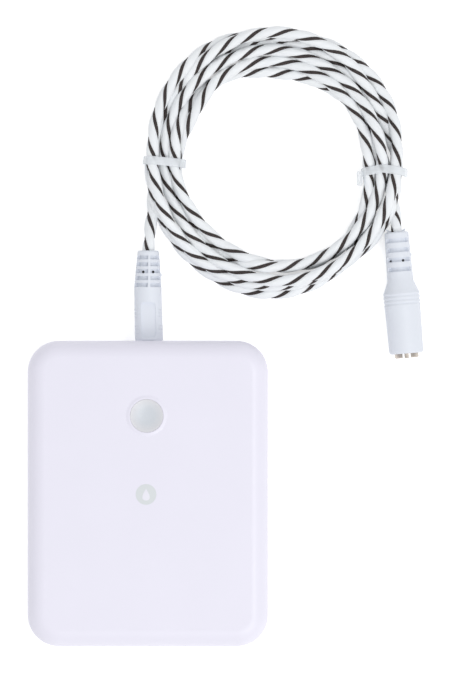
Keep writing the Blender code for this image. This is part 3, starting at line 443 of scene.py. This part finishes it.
def yarn_fibre():
    """Thin black braided yarn with a brown cast."""
    finish = Finish("yarn_fibre", (0.026, 0.018, 0.017), 0.7)
    finish.follow_map()
    braid = finish.noise(1.0, 1.0, finish.stretch((1500.0, 10.0, 1.0)))
    finish.paint(finish.blend(finish.between(braid, 0.0, 1.0), (0.014, 0.010, 0.009),
                              (0.055, 0.038, 0.035)))
    finish.emboss(braid, 0.06 * MM)
    return finish


def tie_nylon():
    """Milky natural nylon that lets some of what it holds show through."""
    finish = Finish("tie_nylon", (0.92, 0.96, 1.0), 0.35)
    finish.mottle(300.0, 0.01)
    finish.emboss(finish.noise(900.0), 0.01 * MM)
    finish.set("Alpha", 0.58)
    finish.let_light_in(0.3, 1.0 * MM)
    return finish


def turned_metal(name, colour, roughness, scratches):
    """Plated or bare metal with fine lines left by the tool."""
    finish = Finish(name, colour, roughness, 1.0)
    lines = finish.noise(1.0, 2.0, finish.stretch((scratches, scratches, scratches / 20)))
    finish.mottle(500.0, 0.06)
    finish.polish(finish.between(lines, roughness - 0.06, roughness + 0.08))
    finish.emboss(lines, 0.004 * MM)
    return finish


def board_laminate():
    """Green solder resist with copper tracks that show as slightly lighter lines."""
    finish = Finish("board_laminate", (0.03, 0.20, 0.09), 0.35)
    tracks = finish.noise(1.0, 0.0, finish.stretch((900.0, 90.0, 90.0)))
    finish.paint(finish.blend(finish.between(tracks, 0.0, 1.0, 0.48, 0.52), (0.03, 0.20, 0.09),
                              (0.05, 0.28, 0.12)))
    finish.emboss(tracks, 0.02 * MM)
    return finish


def cell_jacket():
    """Grey foil sleeve of a cell, with a faint drift of tone."""
    finish = Finish("cell_jacket", (0.30, 0.32, 0.35), 0.35, 0.4)
    finish.mottle(200.0, 0.05)
    finish.emboss(finish.noise(1500.0), 0.005 * MM)
    return finish


def rubber(name, colour):
    """Matt rubber with a dusty grain."""
    finish = Finish(name, colour, 0.85)
    finish.mottle(900.0, 0.12)
    finish.emboss(finish.noise(2500.0, 3.0), 0.02 * MM)
    return finish


def mark_print(name, colour):
    """Thin printed ink on the case."""
    finish = Finish(name, colour, 0.45)
    finish.mottle(500.0, 0.01)
    finish.emboss(finish.noise(2600.0, 3.0), 0.008 * MM)
    return finish


# Building blocks for pieces

def sharpened(mesh, angle=40.0):
    """Smooth shading with sharp edges where faces meet at more than the angle."""
    mesh.shade_smooth()
    mesh.set_sharp_from_angle(angle=math.radians(angle))


def add_piece(name, shape, finish, body="box"):
    """Turns a bmesh into a piece that rides on a body."""
    mesh = bpy.data.meshes.new(name)
    shape.to_mesh(mesh)
    shape.free()
    sharpened(mesh)
    mesh.materials.append(finish.material)
    piece = in_scene(name, mesh)
    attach(piece, body)
    return piece


def even_normals(piece):
    """Lets the large faces lead the shading of the small ones beside them."""
    modifier = piece.modifiers.new("even_normals", "WEIGHTED_NORMAL")
    modifier.keep_sharp = True
    modifier.weight = 80


def soften_edges(piece, width):
    """Breaks a piece's edges with a small round."""
    modifier = piece.modifiers.new("soft_edges", "BEVEL")
    modifier.width = width
    modifier.segments = 2
    modifier.limit_method = "ANGLE"
    modifier.angle_limit = math.radians(35.0)


def dressed_copy(node, finish, edge=0.0):
    """A merged copy of a CAD node with softened edges, which stands for the node."""
    shape = bmesh.new()
    shape.from_mesh(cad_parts[node].data)
    bmesh.ops.remove_doubles(shape, verts=shape.verts[:], dist=SAME_CORNER)
    bmesh.ops.dissolve_limit(shape, angle_limit=math.radians(FLAT_ANGLE), verts=shape.verts[:],
                             edges=shape.edges[:])
    piece = add_piece("dressed_" + node, shape, finish)
    if edge > 0.0:
        soften_edges(piece, edge)
    even_normals(piece)
    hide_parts(node)
    return piece


def at(x, y, z=0.0):
    """A translation."""
    return Matrix.Translation((x, y, z))


def faced_out(shape):
    """Turns all faces of a bmesh outwards."""
    bmesh.ops.recalc_face_normals(shape, faces=shape.faces[:])
    return shape


def draw_out(shape, made, way):
    """Moves the points that an extrusion has made."""
    points = [item for item in made["geom"] if isinstance(item, bmesh.types.BMVert)]
    bmesh.ops.translate(shape, vec=way, verts=points)


def placed(shape, matrix):
    """Moves a bmesh."""
    bmesh.ops.transform(shape, matrix=matrix, verts=shape.verts[:])
    return shape


def spun(profile, steps, ring=False):
    """A profile of (radius, height) points spun about Z; a ring's profile is a loop."""
    shape = bmesh.new()
    verts = [shape.verts.new((radius, 0.0, height)) for radius, height in profile]
    edges = [shape.edges.new(pair) for pair in zip(verts, verts[1:])]
    if ring:
        edges.append(shape.edges.new((verts[-1], verts[0])))
    bmesh.ops.spin(shape, geom=verts + edges, cent=(0, 0, 0), axis=(0, 0, 1), dvec=(0, 0, 0),
                   angle=math.tau, steps=steps, use_merge=True, use_duplicate=False)
    bmesh.ops.remove_doubles(shape, verts=shape.verts[:], dist=SAME_PLACE)
    return faced_out(shape)


def arc(centre, radius, start, end, steps):
    """Points of an arc in a profile, from one angle to another."""
    points = []
    for step in range(steps + 1):
        angle = math.radians(start + (end - start) * step / steps)
        points.append((centre[0] + radius * math.cos(angle), centre[1] + radius * math.sin(angle)))
    return points


# Case

def on_level(shape, level):
    """The edges of a shape that lie at a level."""
    return [edge for edge in shape.edges
            if all(abs(vert.co.z - level) < SAME_PLACE for vert in edge.verts)]


def front_skin():
    """The front cover's outside: round upright corners and a soft rim round the face."""
    shape = bmesh.new()
    height = CASE_FACE - CASE_SPLIT
    size = Matrix.Diagonal((CASE_WIDTH, CASE_LENGTH, height, 1.0))
    bmesh.ops.create_cube(shape, size=1.0, matrix=at(0, 0, CASE_SPLIT + height / 2) @ size)
    upright = [edge for edge in shape.edges
               if abs(edge.verts[0].co.z - edge.verts[1].co.z) > height / 2]
    bmesh.ops.bevel(shape, geom=upright, offset=CASE_CORNER, segments=CORNER_STEPS, profile=0.5,
                    affect="EDGES", material=-1)
    bmesh.ops.bevel(shape, geom=on_level(shape, CASE_FACE), offset=CASE_ROUNDING,
                    segments=ROUNDING_STEPS, profile=0.5, affect="EDGES", material=-1)
    return shape


def open_face(shape):
    """Opens the round button hole in the face and fills the face round it."""
    face = max(shape.faces, key=lambda item: item.calc_center_median().z)
    rim = list(face.edges)
    bmesh.ops.delete(shape, geom=[face], context="FACES_ONLY")
    centre = Vector((BUTTON_X, BUTTON_Y, CASE_FACE))
    hole = bmesh.ops.create_circle(shape, cap_ends=False, segments=HOLE_STEPS, radius=BUTTON_HOLE,
                                   matrix=Matrix.Translation(centre))["verts"]
    ring = list({edge for vert in hole for edge in vert.link_edges})
    filled = bmesh.ops.triangle_fill(shape, use_beauty=True, edges=rim + ring,
                                     normal=(0.0, 0.0, 1.0))["geom"]
    covers = [item for item in filled if isinstance(item, bmesh.types.BMFace)
              and (item.calc_center_median() - centre).length < BUTTON_HOLE * COVERS_HOLE]
    bmesh.ops.delete(shape, geom=covers, context="FACES_ONLY")
    draw_out(shape, bmesh.ops.extrude_edge_only(shape, edges=ring), (0.0, 0.0, -CASE_WALL))


def make_front_cover(finish):
    """Front cover with its rounded rim, its button hole and the raised lip round it."""
    shape = front_skin()
    floor = min(shape.faces, key=lambda item: item.calc_center_median().z)
    bmesh.ops.inset_region(shape, faces=[floor], thickness=CASE_WALL, use_even_offset=True)
    bmesh.ops.translate(shape, vec=(0.0, 0.0, CASE_FACE - CASE_WALL - CASE_SPLIT),
                        verts=list(floor.verts))
    open_face(shape)
    cover = add_piece("front_cover_shell", faced_out(shape), finish)
    even_normals(cover)
    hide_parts("front_cover")
    inner = BUTTON_HOLE + LIP_EDGE
    profile = [(BUTTON_HOLE, CASE_FACE - CASE_WALL)]
    profile += arc((inner, LIP_TOP - LIP_EDGE), LIP_EDGE, 180.0, 80.0, 6)
    profile += [(inner + away * MM, CASE_FACE + rise * MM) for away, rise in LIP_SLOPE]
    profile += [(inner, CASE_FACE - CASE_WALL)]
    lip = spun(profile, ROUND_STEPS, ring=True)
    piece = add_piece("button_lip", placed(lip, at(BUTTON_X, BUTTON_Y)), finish)
    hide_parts("front_cover")


def drop_outline():
    """Outline of a water drop: a round belly and a pointed top."""
    points = []
    for step in range(DROP_STEPS):
        angle = math.tau * step / DROP_STEPS
        narrow = math.sin(angle / 2.0) ** DROP_TAPER
        points.append((DROP_SIZE * narrow * math.sin(angle),
                       DROP_SIZE * DROP_STRETCH * math.cos(angle)))
    return points


def thin_plate(outline, low, high):
    """A flat outline drawn up into a thin plate."""
    shape = bmesh.new()
    face = shape.faces.new([shape.verts.new((x, y, low)) for x, y in outline])
    made = bmesh.ops.extrude_face_region(shape, geom=[face])
    draw_out(shape, made, (0.0, 0.0, high - low))
    return faced_out(shape)


def make_mark():
    """A plain water drop on a round printed patch in the middle of the face."""
    patch_ink = mark_print("patch_ink", (0.70, 0.73, 0.74))
    drop_ink = mark_print("drop_ink", (0.84, 0.83, 0.90))
    low = CASE_FACE - MARK_SUNK
    high = CASE_FACE + MARK_PROUD
    patch = spun(((0.0, low), (MARK_RADIUS, low), (MARK_RADIUS, high), (0.0, high)), HOLE_STEPS)
    drop = thin_plate(drop_outline(), CASE_FACE - DROP_SUNK, CASE_FACE + DROP_PROUD)
    for name, shape, ink in (("mark_patch", patch, patch_ink), ("mark_drop", drop, drop_ink)):
        piece = add_piece(name, placed(shape, at(*MARK_PLACE)), ink)
        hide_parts("front_cover")


def make_button(finish):
    """Dished round button with a soft edge."""
    rim = BUTTON_RIM - BUTTON_EDGE
    profile = []
    for step in range(DISH_STEPS + 1):
        share = step / DISH_STEPS
        profile.append((rim * share, BUTTON_TOP - BUTTON_DISH * (1.0 - share ** DISH_POWER)))
    profile += arc((rim, BUTTON_TOP - BUTTON_EDGE), BUTTON_EDGE, 75.0, 0.0, 5)
    profile += [(BUTTON_RIM, BUTTON_FOOT), (0.0, BUTTON_FOOT)]
    cap = placed(spun(profile, ROUND_STEPS), at(BUTTON_X, BUTTON_Y))
    piece = add_piece("button_cap", cap, finish, "push_button")
    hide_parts("button")


# Rope

def smooth_route(points, steps):
    """Reads points from a smooth curve through the given ones."""
    knots = [2 * points[0] - points[1]] + list(points) + [2 * points[-1] - points[-2]]
    route = []
    for before, start, end, after in zip(knots, knots[1:], knots[2:], knots[3:]):
        for step in range(steps):
            t = step / steps
            route.append(0.5 * (2 * start + (end - before) * t
                                + (2 * before - 5 * start + 4 * end - after) * t ** 2
                                + (3 * start - before - 3 * end + after) * t ** 3))
    route.append(knots[-2])
    return route


def turn_places():
    """The turns seen from above: (whole angle clockwise, place) every few degrees."""
    radii = [Vector((radius * MM, 0.0, 0.0)) for turn in TURNS for radius in turn]
    fine = smooth_route(radii, round(KNOT_DEGREES / STEP_DEGREES))
    places = []
    for step, radius in enumerate(fine):
        angle = FIRST_ANGLE + step * STEP_DEGREES
        turned = math.radians(angle)
        offset = Vector((math.cos(turned), -math.sin(turned))) * radius.x
        places.append((angle, COIL_CENTRE + offset))
    return places


def turn_at(angle, base):
    """The number of the turn that a whole angle belongs to, seen from a base angle."""
    return round((angle - base) / 360.0)


def height_rank(turn, base):
    """How high a turn lies in the pile at a base angle; the lead and the tail lie lowest."""
    for limit, pile in PILES:
        if base <= limit:
            return pile.index(turn) if turn in pile else -1
    return -1


def resting_level(place):
    """Height of the rope's middle on the floor, a little more where a tie passes under it."""
    nearest = min((place - tie[0]).length for tie in TIE_PLACES.values())
    share = max(0.0, 1.0 - max(0.0, nearest - OVER_TIE_NEAR) / OVER_TIE_RAMP)
    return ROPE_ON_FLOOR + (ROPE_OVER_TIE - ROPE_ON_FLOOR) * share


def pile_up(places, ends):
    """Heights of the turns: each rests on the floor, on the turns below it and on the ends."""
    count = len(places)
    levels = [resting_level(place) for _, place in places]
    apart = round(APART_DEGREES / STEP_DEGREES)
    below = [[] for _ in range(count)]
    for i in range(count):
        for j in range(i + apart, count):
            distance = (places[i][1] - places[j][1]).length
            if distance >= NESTING:
                continue
            base = FIRST_ANGLE + (places[i][0] - FIRST_ANGLE) % 360.0
            first = height_rank(turn_at(places[i][0], base), base)
            second = height_rank(turn_at(places[j][0], base), base)
            rise = math.sqrt(NESTING ** 2 - distance ** 2)
            if first > second:
                below[i].append((j, rise))
            else:
                below[j].append((i, rise))
    floors = list(levels)
    for i, (_, place) in enumerate(places):
        for end, skipped in ends:
            if skipped[0] <= i < skipped[1]:
                continue
            for point in end:
                distance = (place - point.xy).length
                if distance < NESTING:
                    floors[i] = max(floors[i], point.z + math.sqrt(NESTING ** 2 - distance ** 2))
    for _ in range(PILE_ROUNDS):
        levels = [max(level, floor) for level, floor in zip(levels, floors)]
        for _ in range(LIFT_PASSES):
            for i in range(count):
                for j, rise in below[i]:
                    levels[i] = max(levels[i], levels[j] + rise)
        for _ in range(SMOOTH_PASSES):
            padded = [levels[0]] + levels + [levels[-1]]
            levels = [(before + 2 * here + after) / 4
                      for before, here, after in zip(padded, padded[1:], padded[2:])]
    return levels


def rope_knots():
    """The rope's whole line as (whole angle or nothing, point), from the plug to the socket."""
    lead = smooth_route([Vector(point) * MM for point in LEAD], END_STEPS)[:-1]
    tail = smooth_route([Vector(point) * MM for point in TAIL], END_STEPS)
    places = turn_places()
    near = round(ENDS_DEGREES / STEP_DEGREES)
    ends = ((lead, (0, near)), (tail, (len(places) - near, len(places))))
    levels = pile_up(places, ends)
    knots = [(None, point) for point in lead]
    knots += [(angle, Vector((*place, level))) for (angle, place), level in zip(places, levels)]
    knots += [(None, point) for point in tail]
    return knots


def even_stations(points, spacing):
    """Points a set distance apart along a line, with each one's distance from its start."""
    stations = [(0.0, points[0])]
    walked = 0.0
    wanted = spacing
    for start, end in zip(points, points[1:]):
        piece = (end - start).length
        while piece > 0.0 and wanted <= walked + piece:
            stations.append((wanted, start.lerp(end, (wanted - walked) / piece)))
            wanted += spacing
        walked += piece
    return stations


def distances(points):
    """Each point's distance along the line from its start."""
    walked = [0.0]
    for start, end in zip(points, points[1:]):
        walked.append(walked[-1] + (end - start).length)
    return walked


def twist_stations(knots):
    """The counted half twists as (distance along the rope, count)."""
    walked = distances([point for _, point in knots])
    stations = []
    for turn, angle, count in TWISTS:
        whole = angle + 360.0 * turn
        for (here, _), (after, _), start, end in zip(knots, knots[1:], walked, walked[1:]):
            if here is not None and after is not None and here <= whole < after:
                share = (whole - here) / (after - here)
                stations.append((start + share * (end - start), count))
    return stations


def half_twists(distance, stations):
    """How many half twists the rope has made at a distance, from the nearest counts."""
    if distance <= stations[0][0]:
        return stations[0][1] + (distance - stations[0][0]) / HALF_LAY
    for (start, first), (end, second) in zip(stations, stations[1:]):
        if distance <= end:
            return first + (second - first) * (distance - start) / (end - start)
    return stations[-1][1] + (distance - stations[-1][0]) / HALF_LAY


def section_curve(name, outlines):
    """Closed outlines across the rope, as a curve that is swept along it."""
    curve = bpy.data.curves.new(name, "CURVE")
    curve.dimensions = "2D"
    for outline in outlines:
        spline = curve.splines.new("POLY")
        spline.points.add(len(outline) - 1)
        spline.use_cyclic_u = True
        for point, (x, y) in zip(spline.points, outline):
            point.co = (x, y, 0.0, 1.0)
    return in_scene(name, curve)


def strand_outline():
    """Section of the two white strands: two round lobes that press on each other."""
    start = math.acos(-STRAND_OFFSET / STRAND_ACROSS)
    outline = []
    for side in (1, -1):
        for step in range(STRAND_STEPS + 1):
            angle = -start + 2 * start * step / STRAND_STEPS
            outline.append((side * (STRAND_OFFSET + STRAND_ACROSS * math.cos(angle)),
                            side * STRAND_ALONG * math.sin(angle)))
    return outline


def yarn_outlines():
    """Sections of the two thin yarns in the grooves between the strands."""
    outlines = []
    for side in (1, -1):
        outline = []
        for step in range(YARN_STEPS):
            angle = math.tau * step / YARN_STEPS
            outline.append((YARN_ACROSS * math.cos(angle),
                            side * (YARN_OFFSET + YARN_ALONG * math.sin(angle))))
        outlines.append(outline)
    return outlines


def sweep_rope(name, outlines, stations, twists):
    """Sweeps the outlines along the rope with its twist, as a mesh with a map along it."""
    section = section_curve(name + "_section", outlines)
    curve = bpy.data.curves.new(name + "_line", "CURVE")
    curve.dimensions = "3D"
    curve.twist_mode = "Z_UP"
    curve.bevel_mode = "OBJECT"
    curve.bevel_object = section
    curve.use_fill_caps = True
    spline = curve.splines.new("POLY")
    spline.points.add(len(stations) - 1)
    for point, (distance, place) in zip(spline.points, stations):
        point.co = (*place, 1.0)
        point.tilt = -math.pi * (half_twists(distance, twists) - MIDDLE_TWIST)
    line = in_scene(name + "_line", curve)
    ready = line.evaluated_get(bpy.context.evaluated_depsgraph_get())
    mesh = bpy.data.meshes.new_from_object(ready)
    bpy.data.objects.remove(line)
    bpy.data.objects.remove(section)
    return mesh


def map_along(mesh, stations, around):
    """Gives each corner its distance along the rope and its share of the way round."""
    layer = mesh.uv_layers.new(name="along_rope") if not mesh.uv_layers else mesh.uv_layers[0]
    count = len(stations)
    for loop in mesh.loops:
        ring, place = divmod(loop.vertex_index, around)
        distance = stations[ring % count][0]
        layer.data[loop.index].uv = (distance, place / around)


def make_rope(fibre, yarn):
    """The sensing rope, as its pair of white strands and its pair of black yarns."""
    knots = rope_knots()
    points = [point for _, point in knots]
    stations = even_stations(smooth_route(points, ROUTE_STEPS), STATION)
    twists = twist_stations(knots)
    pieces = []
    for name, outlines, finish in (("rope_strands", [strand_outline()], fibre),
                                   ("rope_yarns", yarn_outlines(), yarn)):
        mesh = sweep_rope(name, outlines, stations, twists)
        map_along(mesh, stations, len(outlines[0]))
        mesh.materials.clear()
        mesh.materials.append(finish.material)
        sharpened(mesh, 70.0)
        piece = in_scene(name, mesh)
        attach(piece, "box")
        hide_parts("rope_lead", "rope_coil", "rope_tail")
        pieces.append(piece)
    return pieces, stations


# Ties

def crossings(stations, middle, heading):
    """Where the rope passes through a tie: (distance along the heading, height) of each pass."""
    forward = Vector((math.cos(heading), math.sin(heading)))
    side = Vector((-forward.y, forward.x))
    passes = []
    for (_, start), (_, end) in zip(stations, stations[1:]):
        before = (start.xy - middle).dot(side)
        after = (end.xy - middle).dot(side)
        if before * after < 0.0:
            place = start.lerp(end, before / (before - after))
            out = (place.xy - middle).dot(forward)
            if abs(out) < TIE_SPAN:
                passes.append((out, place.z))
    return passes


def band_outline(passes):
    """The shortest loop round all the passes, as a strap pulled tight takes it."""
    outline = []
    for step in range(TIE_STEPS):
        angle = math.tau * step / TIE_STEPS
        outward = (math.cos(angle), math.sin(angle))
        out, high = max(passes, key=lambda item: item[0] * outward[0] + item[1] * outward[1])
        outline.append((out + TIE_REACH * outward[0], high + TIE_REACH * outward[1]))
    return outline


def widened(outline, extra, slip):
    """The loop with its two ends moved apart and outwards, where a strap stands off the rope."""
    low = min(x for x, _ in outline)
    high = max(x for x, _ in outline)
    middle = (low + high) / 2
    stretch = 1.0 + 2.0 * extra / (high - low)
    return [(middle + slip + (x - middle) * stretch, z) for x, z in outline]


def tie_band(outline, bow):
    """A strap drawn to its width from a loop, with its two ends bowed along the rope."""
    shape = bmesh.new()
    loop = [shape.verts.new((x, -TIE_WIDTH / 2, z)) for x, z in outline]
    edges = [shape.edges.new((start, end)) for start, end in zip(loop, loop[1:] + loop[:1])]
    draw_out(shape, bmesh.ops.extrude_edge_only(shape, edges=edges), (0.0, TIE_WIDTH, 0.0))
    low = min(x for x, _ in outline)
    high = max(x for x, _ in outline)
    half = (high - low) / 2
    centre = (high + low) / 2
    for vert in shape.verts:
        vert.co.y += bow * ((vert.co.x - centre) / half) ** 2
    return faced_out(shape)


def tie_head(outline, past, offset, width, length):
    """The tie's head with its bevelled mouth, at the inner end of the band."""
    inner = min(x for x, _ in outline)
    middle = sum(z for _, z in outline) / len(outline)
    size = Vector((width, length, TIE_HEAD_HEIGHT))
    shape = bmesh.new()
    place = at(inner - past, offset, middle + TIE_HEAD_LIFT)
    bmesh.ops.create_cube(shape, size=1.0, matrix=place @ Matrix.Diagonal((*size, 1.0)))
    top = [face for face in shape.faces if face.normal.z > 0.9]
    bmesh.ops.inset_region(shape, faces=top, thickness=TIE_MOUTH_WALL, use_even_offset=True)
    bmesh.ops.translate(shape, vec=(0.0, 0.0, -TIE_MOUTH_DEPTH), verts=list(top[0].verts))
    return shape


def make_ties(stations, nylon):
    """The two ties round the coil."""
    pieces = []
    for name, (middle, degrees, bow, side_reach, slip) in TIE_PLACES.items():
        heading = math.radians(degrees)
        outline = band_outline(crossings(stations, middle, heading))
        outline = widened(outline, side_reach - TIE_REACH, slip)
        place = at(middle.x, middle.y) @ Matrix.Rotation(heading, 4, "Z")
        strap = placed(tie_band(outline, bow), place)
        band = add_piece(name + "_band", strap, nylon)
        wall = band.modifiers.new("wall", "SOLIDIFY")
        wall.thickness = TIE_THICKNESS
        wall.offset = 1.0
        soften_edges(band, TIE_EDGE)
        block = placed(tie_head(outline, *TIE_HEADS[name]), place)
        head = add_piece(name + "_head", block, nylon)
        soften_edges(head, TIE_HEAD_EDGE)
        for piece in (band, head):
            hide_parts(name)
            pieces.append(piece)
    return pieces


# Floor and light

def make_floor():
    """A large pale floor that shows as plain white and keeps the object's soft shadow."""
    shape = bmesh.new()
    bmesh.ops.create_grid(shape, x_segments=1, y_segments=1, size=FLOOR_SIZE)
    mesh = bpy.data.meshes.new("floor")
    shape.to_mesh(mesh)
    shape.free()
    finish = Finish("floor_paper", (0.93, 0.93, 0.93), 0.9)
    finish.mottle(4.0, 0.004)
    path = finish.node("LightPath")
    seen = path.outputs["Is Camera Ray"]
    for ray in ("Is Glossy Ray", "Is Transmission Ray"):
        either = finish.node("Math")
        either.operation = "MAXIMUM"
        finish.link(seen, either.inputs[0])
        finish.link(path.outputs[ray], either.inputs[1])
        seen = either.outputs[0]
    strength = finish.node("Math", {1: FLOOR_GLOW})
    strength.operation = "MULTIPLY"
    finish.link(seen, strength.inputs[0])
    finish.link(strength.outputs[0], finish.shader.inputs["Emission Strength"])
    finish.set("Emission Color", (1.0, 1.0, 1.0, 1.0))
    mesh.materials.append(finish.material)
    floor = in_scene("floor", mesh)


def make_world():
    """An even pale sky that the camera sees as white."""
    world = bpy.data.worlds.new("studio")
    world.use_nodes = True
    bpy.context.scene.world = world
    tree = world.node_tree
    background = tree.nodes["Background"]
    background.inputs["Color"].default_value = (0.97, 0.98, 1.0, 1.0)
    path = tree.nodes.new("ShaderNodeLightPath")
    strength = tree.nodes.new("ShaderNodeMapRange")
    strength.inputs["To Min"].default_value = SKY_LIGHT
    strength.inputs["To Max"].default_value = 1.0
    tree.links.new(path.outputs["Is Camera Ray"], strength.inputs["Value"])
    tree.links.new(strength.outputs["Result"], background.inputs["Strength"])


def add_softbox(name, place, target, size, power):
    """A square softbox that faces a target."""
    light = bpy.data.lights.new(name, "AREA")
    light.shape = "SQUARE"
    light.size = size
    light.energy = power
    lamp = in_scene(name, light)
    direction = Vector(target) - Vector(place)
    turn = direction.to_track_quat("-Z", "Y").to_matrix().to_4x4()
    lamp.matrix_world = Matrix.Translation(place) @ turn


def make_light():
    """A soft key light from the picture's lower right and a small one from its right."""
    target = (*PICTURE_CENTRE, 0.0)
    add_softbox("key_softbox", (0.40, -0.50, 1.02), target, 0.6, 3.4)
    add_softbox("side_softbox", (0.60, 0.03, 1.50), target, 0.35, 3.0)


# Other pieces

def dress_box():
    """The two covers with the mark and the button, and the feet and screws at the back."""
    case = case_plastic()
    make_front_cover(case)
    make_mark()
    make_button(button_plastic())
    dressed_copy("rear_cover", case)
    foot = rubber("foot_rubber", (0.12, 0.12, 0.13))
    screw = turned_metal("screw_steel", (0.62, 0.63, 0.65), 0.3, 900.0)
    for number in (1, 2, 3, 4):
        dressed_copy(f"rubber_foot_{number}", foot, FOOT_EDGE)
        dressed_copy(f"cover_screw_{number}", screw, METAL_EDGE)


def bend_at(distance):
    """How far the plug's middle lies to the right at a distance along it."""
    for (start, first), (end, second) in zip(PLUG_BEND, PLUG_BEND[1:]):
        if distance <= end * MM:
            share = max(0.0, (distance / MM - start) / (end - start))
            return (first + (second - first) * share) * MM
    return PLUG_BEND[-1][1] * MM


def grip_ribs():
    """Fine half-round ribs that run over the plug's two sides."""
    shape = bmesh.new()
    for start in GRIP_STARTS:
        for number in range(GRIP_RIBS):
            for side in (-1, 1):
                section = []
                for step in range(GRIP_STEPS + 1):
                    angle = math.pi * step / GRIP_STEPS
                    section.append(shape.verts.new((
                        side * (PLUG_RADIUS - GRIP_SUNK + GRIP_PROUD * math.sin(angle)),
                        start + GRIP_PITCH * number + GRIP_WIDTH / 2 * math.cos(angle), 0.0)))
                face = shape.faces.new(section)
                bmesh.ops.rotate(shape, cent=(0, 0, 0), verts=section,
                                 matrix=Matrix.Rotation(side * GRIP_LOW, 3, "Y"))
                bmesh.ops.spin(shape, geom=[face, *face.edges, *face.verts], cent=(0, 0, 0),
                               axis=(0, -side, 0), dvec=(0, 0, 0), angle=GRIP_SWEEP,
                               steps=SWEEP_STEPS, use_merge=False, use_duplicate=False)
    return placed(faced_out(shape), at(JACK_X, 0.0, JACK_Z))


def nib(place):
    """A small flattened lump where the mould was filled."""
    shape = bmesh.new()
    bmesh.ops.create_uvsphere(shape, u_segments=16, v_segments=10, radius=1.0,
                              matrix=at(*place) @ Matrix.Diagonal((*NIB_SIZE, 1.0)))
    return shape


def make_mould_marks(vinyl):
    """Grip ribs, nibs and flaps of the plug and the socket, and dark discs that paint the shade deep
    in their pin holes.
    """
    # Near-black finish of the discs that paint the shade at the bottom of the pin holes
    painted_pin_shade = moulded_plastic("painted_pin_shade", (0.04, 0.035, 0.04), 0.5, 2000.0, 0.01 * MM)
    marks = []
    ribs = add_piece("plug_grip_ribs", grip_ribs(), vinyl)
    for vert in ribs.data.vertices:
        vert.co.x += bend_at(vert.co.y)
    marks.append((ribs, "plug_overmould"))
    for place, node in zip(NIBS, ("plug_overmould", "socket_overmould")):
        marks.append((add_piece(node + "_nib", nib(place), vinyl), node))
    for number, outline in enumerate(FLAPS, 1):
        flap = thin_plate([(x * MM, y * MM) for x, y in outline], *FLAP_LEVELS)
        piece = add_piece(f"socket_flap_{number}", flap, vinyl)
        soften_edges(piece, FLAP_EDGE)
        marks.append((piece, "socket_overmould"))
    # Dark discs sunk in the pin holes: painted shade, not a part of the object
    for number, (x, y, top, radius) in enumerate(PIN_HOLE_SHADES, 1):
        shade_disc = spun(((0.0, top), (radius, top), (radius, top - PIN_SHADE_LENGTH),
                     (0.0, top - PIN_SHADE_LENGTH)), PIN_SHADE_STEPS)
        node = "plug_overmould" if x < CASE_WIDTH / 2 else "socket_overmould"
        marks.append((add_piece(f"pin_hole_painted_shade_{number}", placed(shade_disc, at(x, y)), painted_pin_shade), node))
    for piece, node in marks:
        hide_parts(node)
    return [piece for piece, _ in marks]


def dress_connectors():
    """The moulded plug and socket with their moulding marks, and the socket's crown."""
    vinyl = plug_vinyl()
    brass = turned_metal("crown_brass", (0.52, 0.47, 0.42), 0.38, 700.0)
    plug = dressed_copy("plug_overmould", vinyl, VINYL_EDGE)
    for vert in plug.data.vertices:
        if vert.co.y < PLUG_START + PLUG_FACE_DEPTH:
            vert.co.y -= PLUG_DRAWN_UP
        vert.co.x += bend_at(vert.co.y)
    marks = make_mould_marks(vinyl)
    socket = dressed_copy("socket_overmould", vinyl, VINYL_EDGE)
    crown = dressed_copy("socket_crown", brass, METAL_EDGE)
    return [*marks, plug, socket, crown]


def finish_nodes(finish, *nodes):
    """Puts a finish on CAD nodes that keep their own shape."""
    for node in nodes:
        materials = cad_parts[node].data.materials
        materials.clear()
        materials.append(finish.material)


def dress_inside():
    """Finishes of the pieces inside the box, the jack, the plug and the socket."""
    finish_nodes(turned_metal("contact_brass", (0.80, 0.66, 0.36), 0.25, 800.0),
                 "jack_tip_contact", "jack_sleeve_contact", "socket_tip_contact")
    finish_nodes(turned_metal("plug_nickel", (0.80, 0.80, 0.78), 0.18, 900.0),
                 "plug_tip", "plug_sleeve", "jack_bushing")
    finish_nodes(turned_metal("battery_nickel", (0.80, 0.80, 0.80), 0.3, 600.0),
                 "battery_link_plate", "battery_positive_plate", "battery_negative_plate",
                 "battery_spring_1", "battery_spring_2")
    finish_nodes(turned_metal("board_screw_steel", (0.62, 0.63, 0.65), 0.3, 900.0),
                 *[f"board_screw_{number}" for number in (1, 2, 3, 4)])
    finish_nodes(moulded_plastic("black_plastic", (0.06, 0.06, 0.06), 0.45, 2400.0, 0.01 * MM),
                 "jack_body", "plug_insulator", "socket_insulator", "switch_body",
                 "switch_plunger", "controller_chip", "battery_cradle")
    finish_nodes(board_laminate(), "circuit_board", "radio_board")
    finish_nodes(turned_metal("shield_tin", (0.75, 0.75, 0.76), 0.3, 500.0), "radio_shield")
    finish_nodes(moulded_plastic("lamp_resin", (0.90, 0.90, 0.80), 0.15, 2000.0, 0.004 * MM),
                 "status_lamp")
    finish_nodes(cell_jacket(), "battery_cell_1", "battery_cell_2")
    finish_nodes(moulded_plastic("lead_vinyl", (0.10, 0.05, 0.05), 0.45, 3000.0, 0.008 * MM),
                 "battery_lead_1", "battery_lead_2")
    finish_nodes(rubber("seal_rubber", (0.25, 0.26, 0.28)), "cover_seal")


def main():
    """Builds the scene: camera and rope first, then the rest of the object, floor and light."""
    scene = bpy.context.scene
    scene.view_settings.view_transform = "Standard"
    set_up_camera()
    (strands, yarns), stations = make_rope(rope_fibre(), yarn_fibre())
    ties = make_ties(stations, tie_nylon())
    connectors = dress_connectors()
    dress_box()
    dress_inside()
    make_floor()
    make_world()
    make_light()


main()
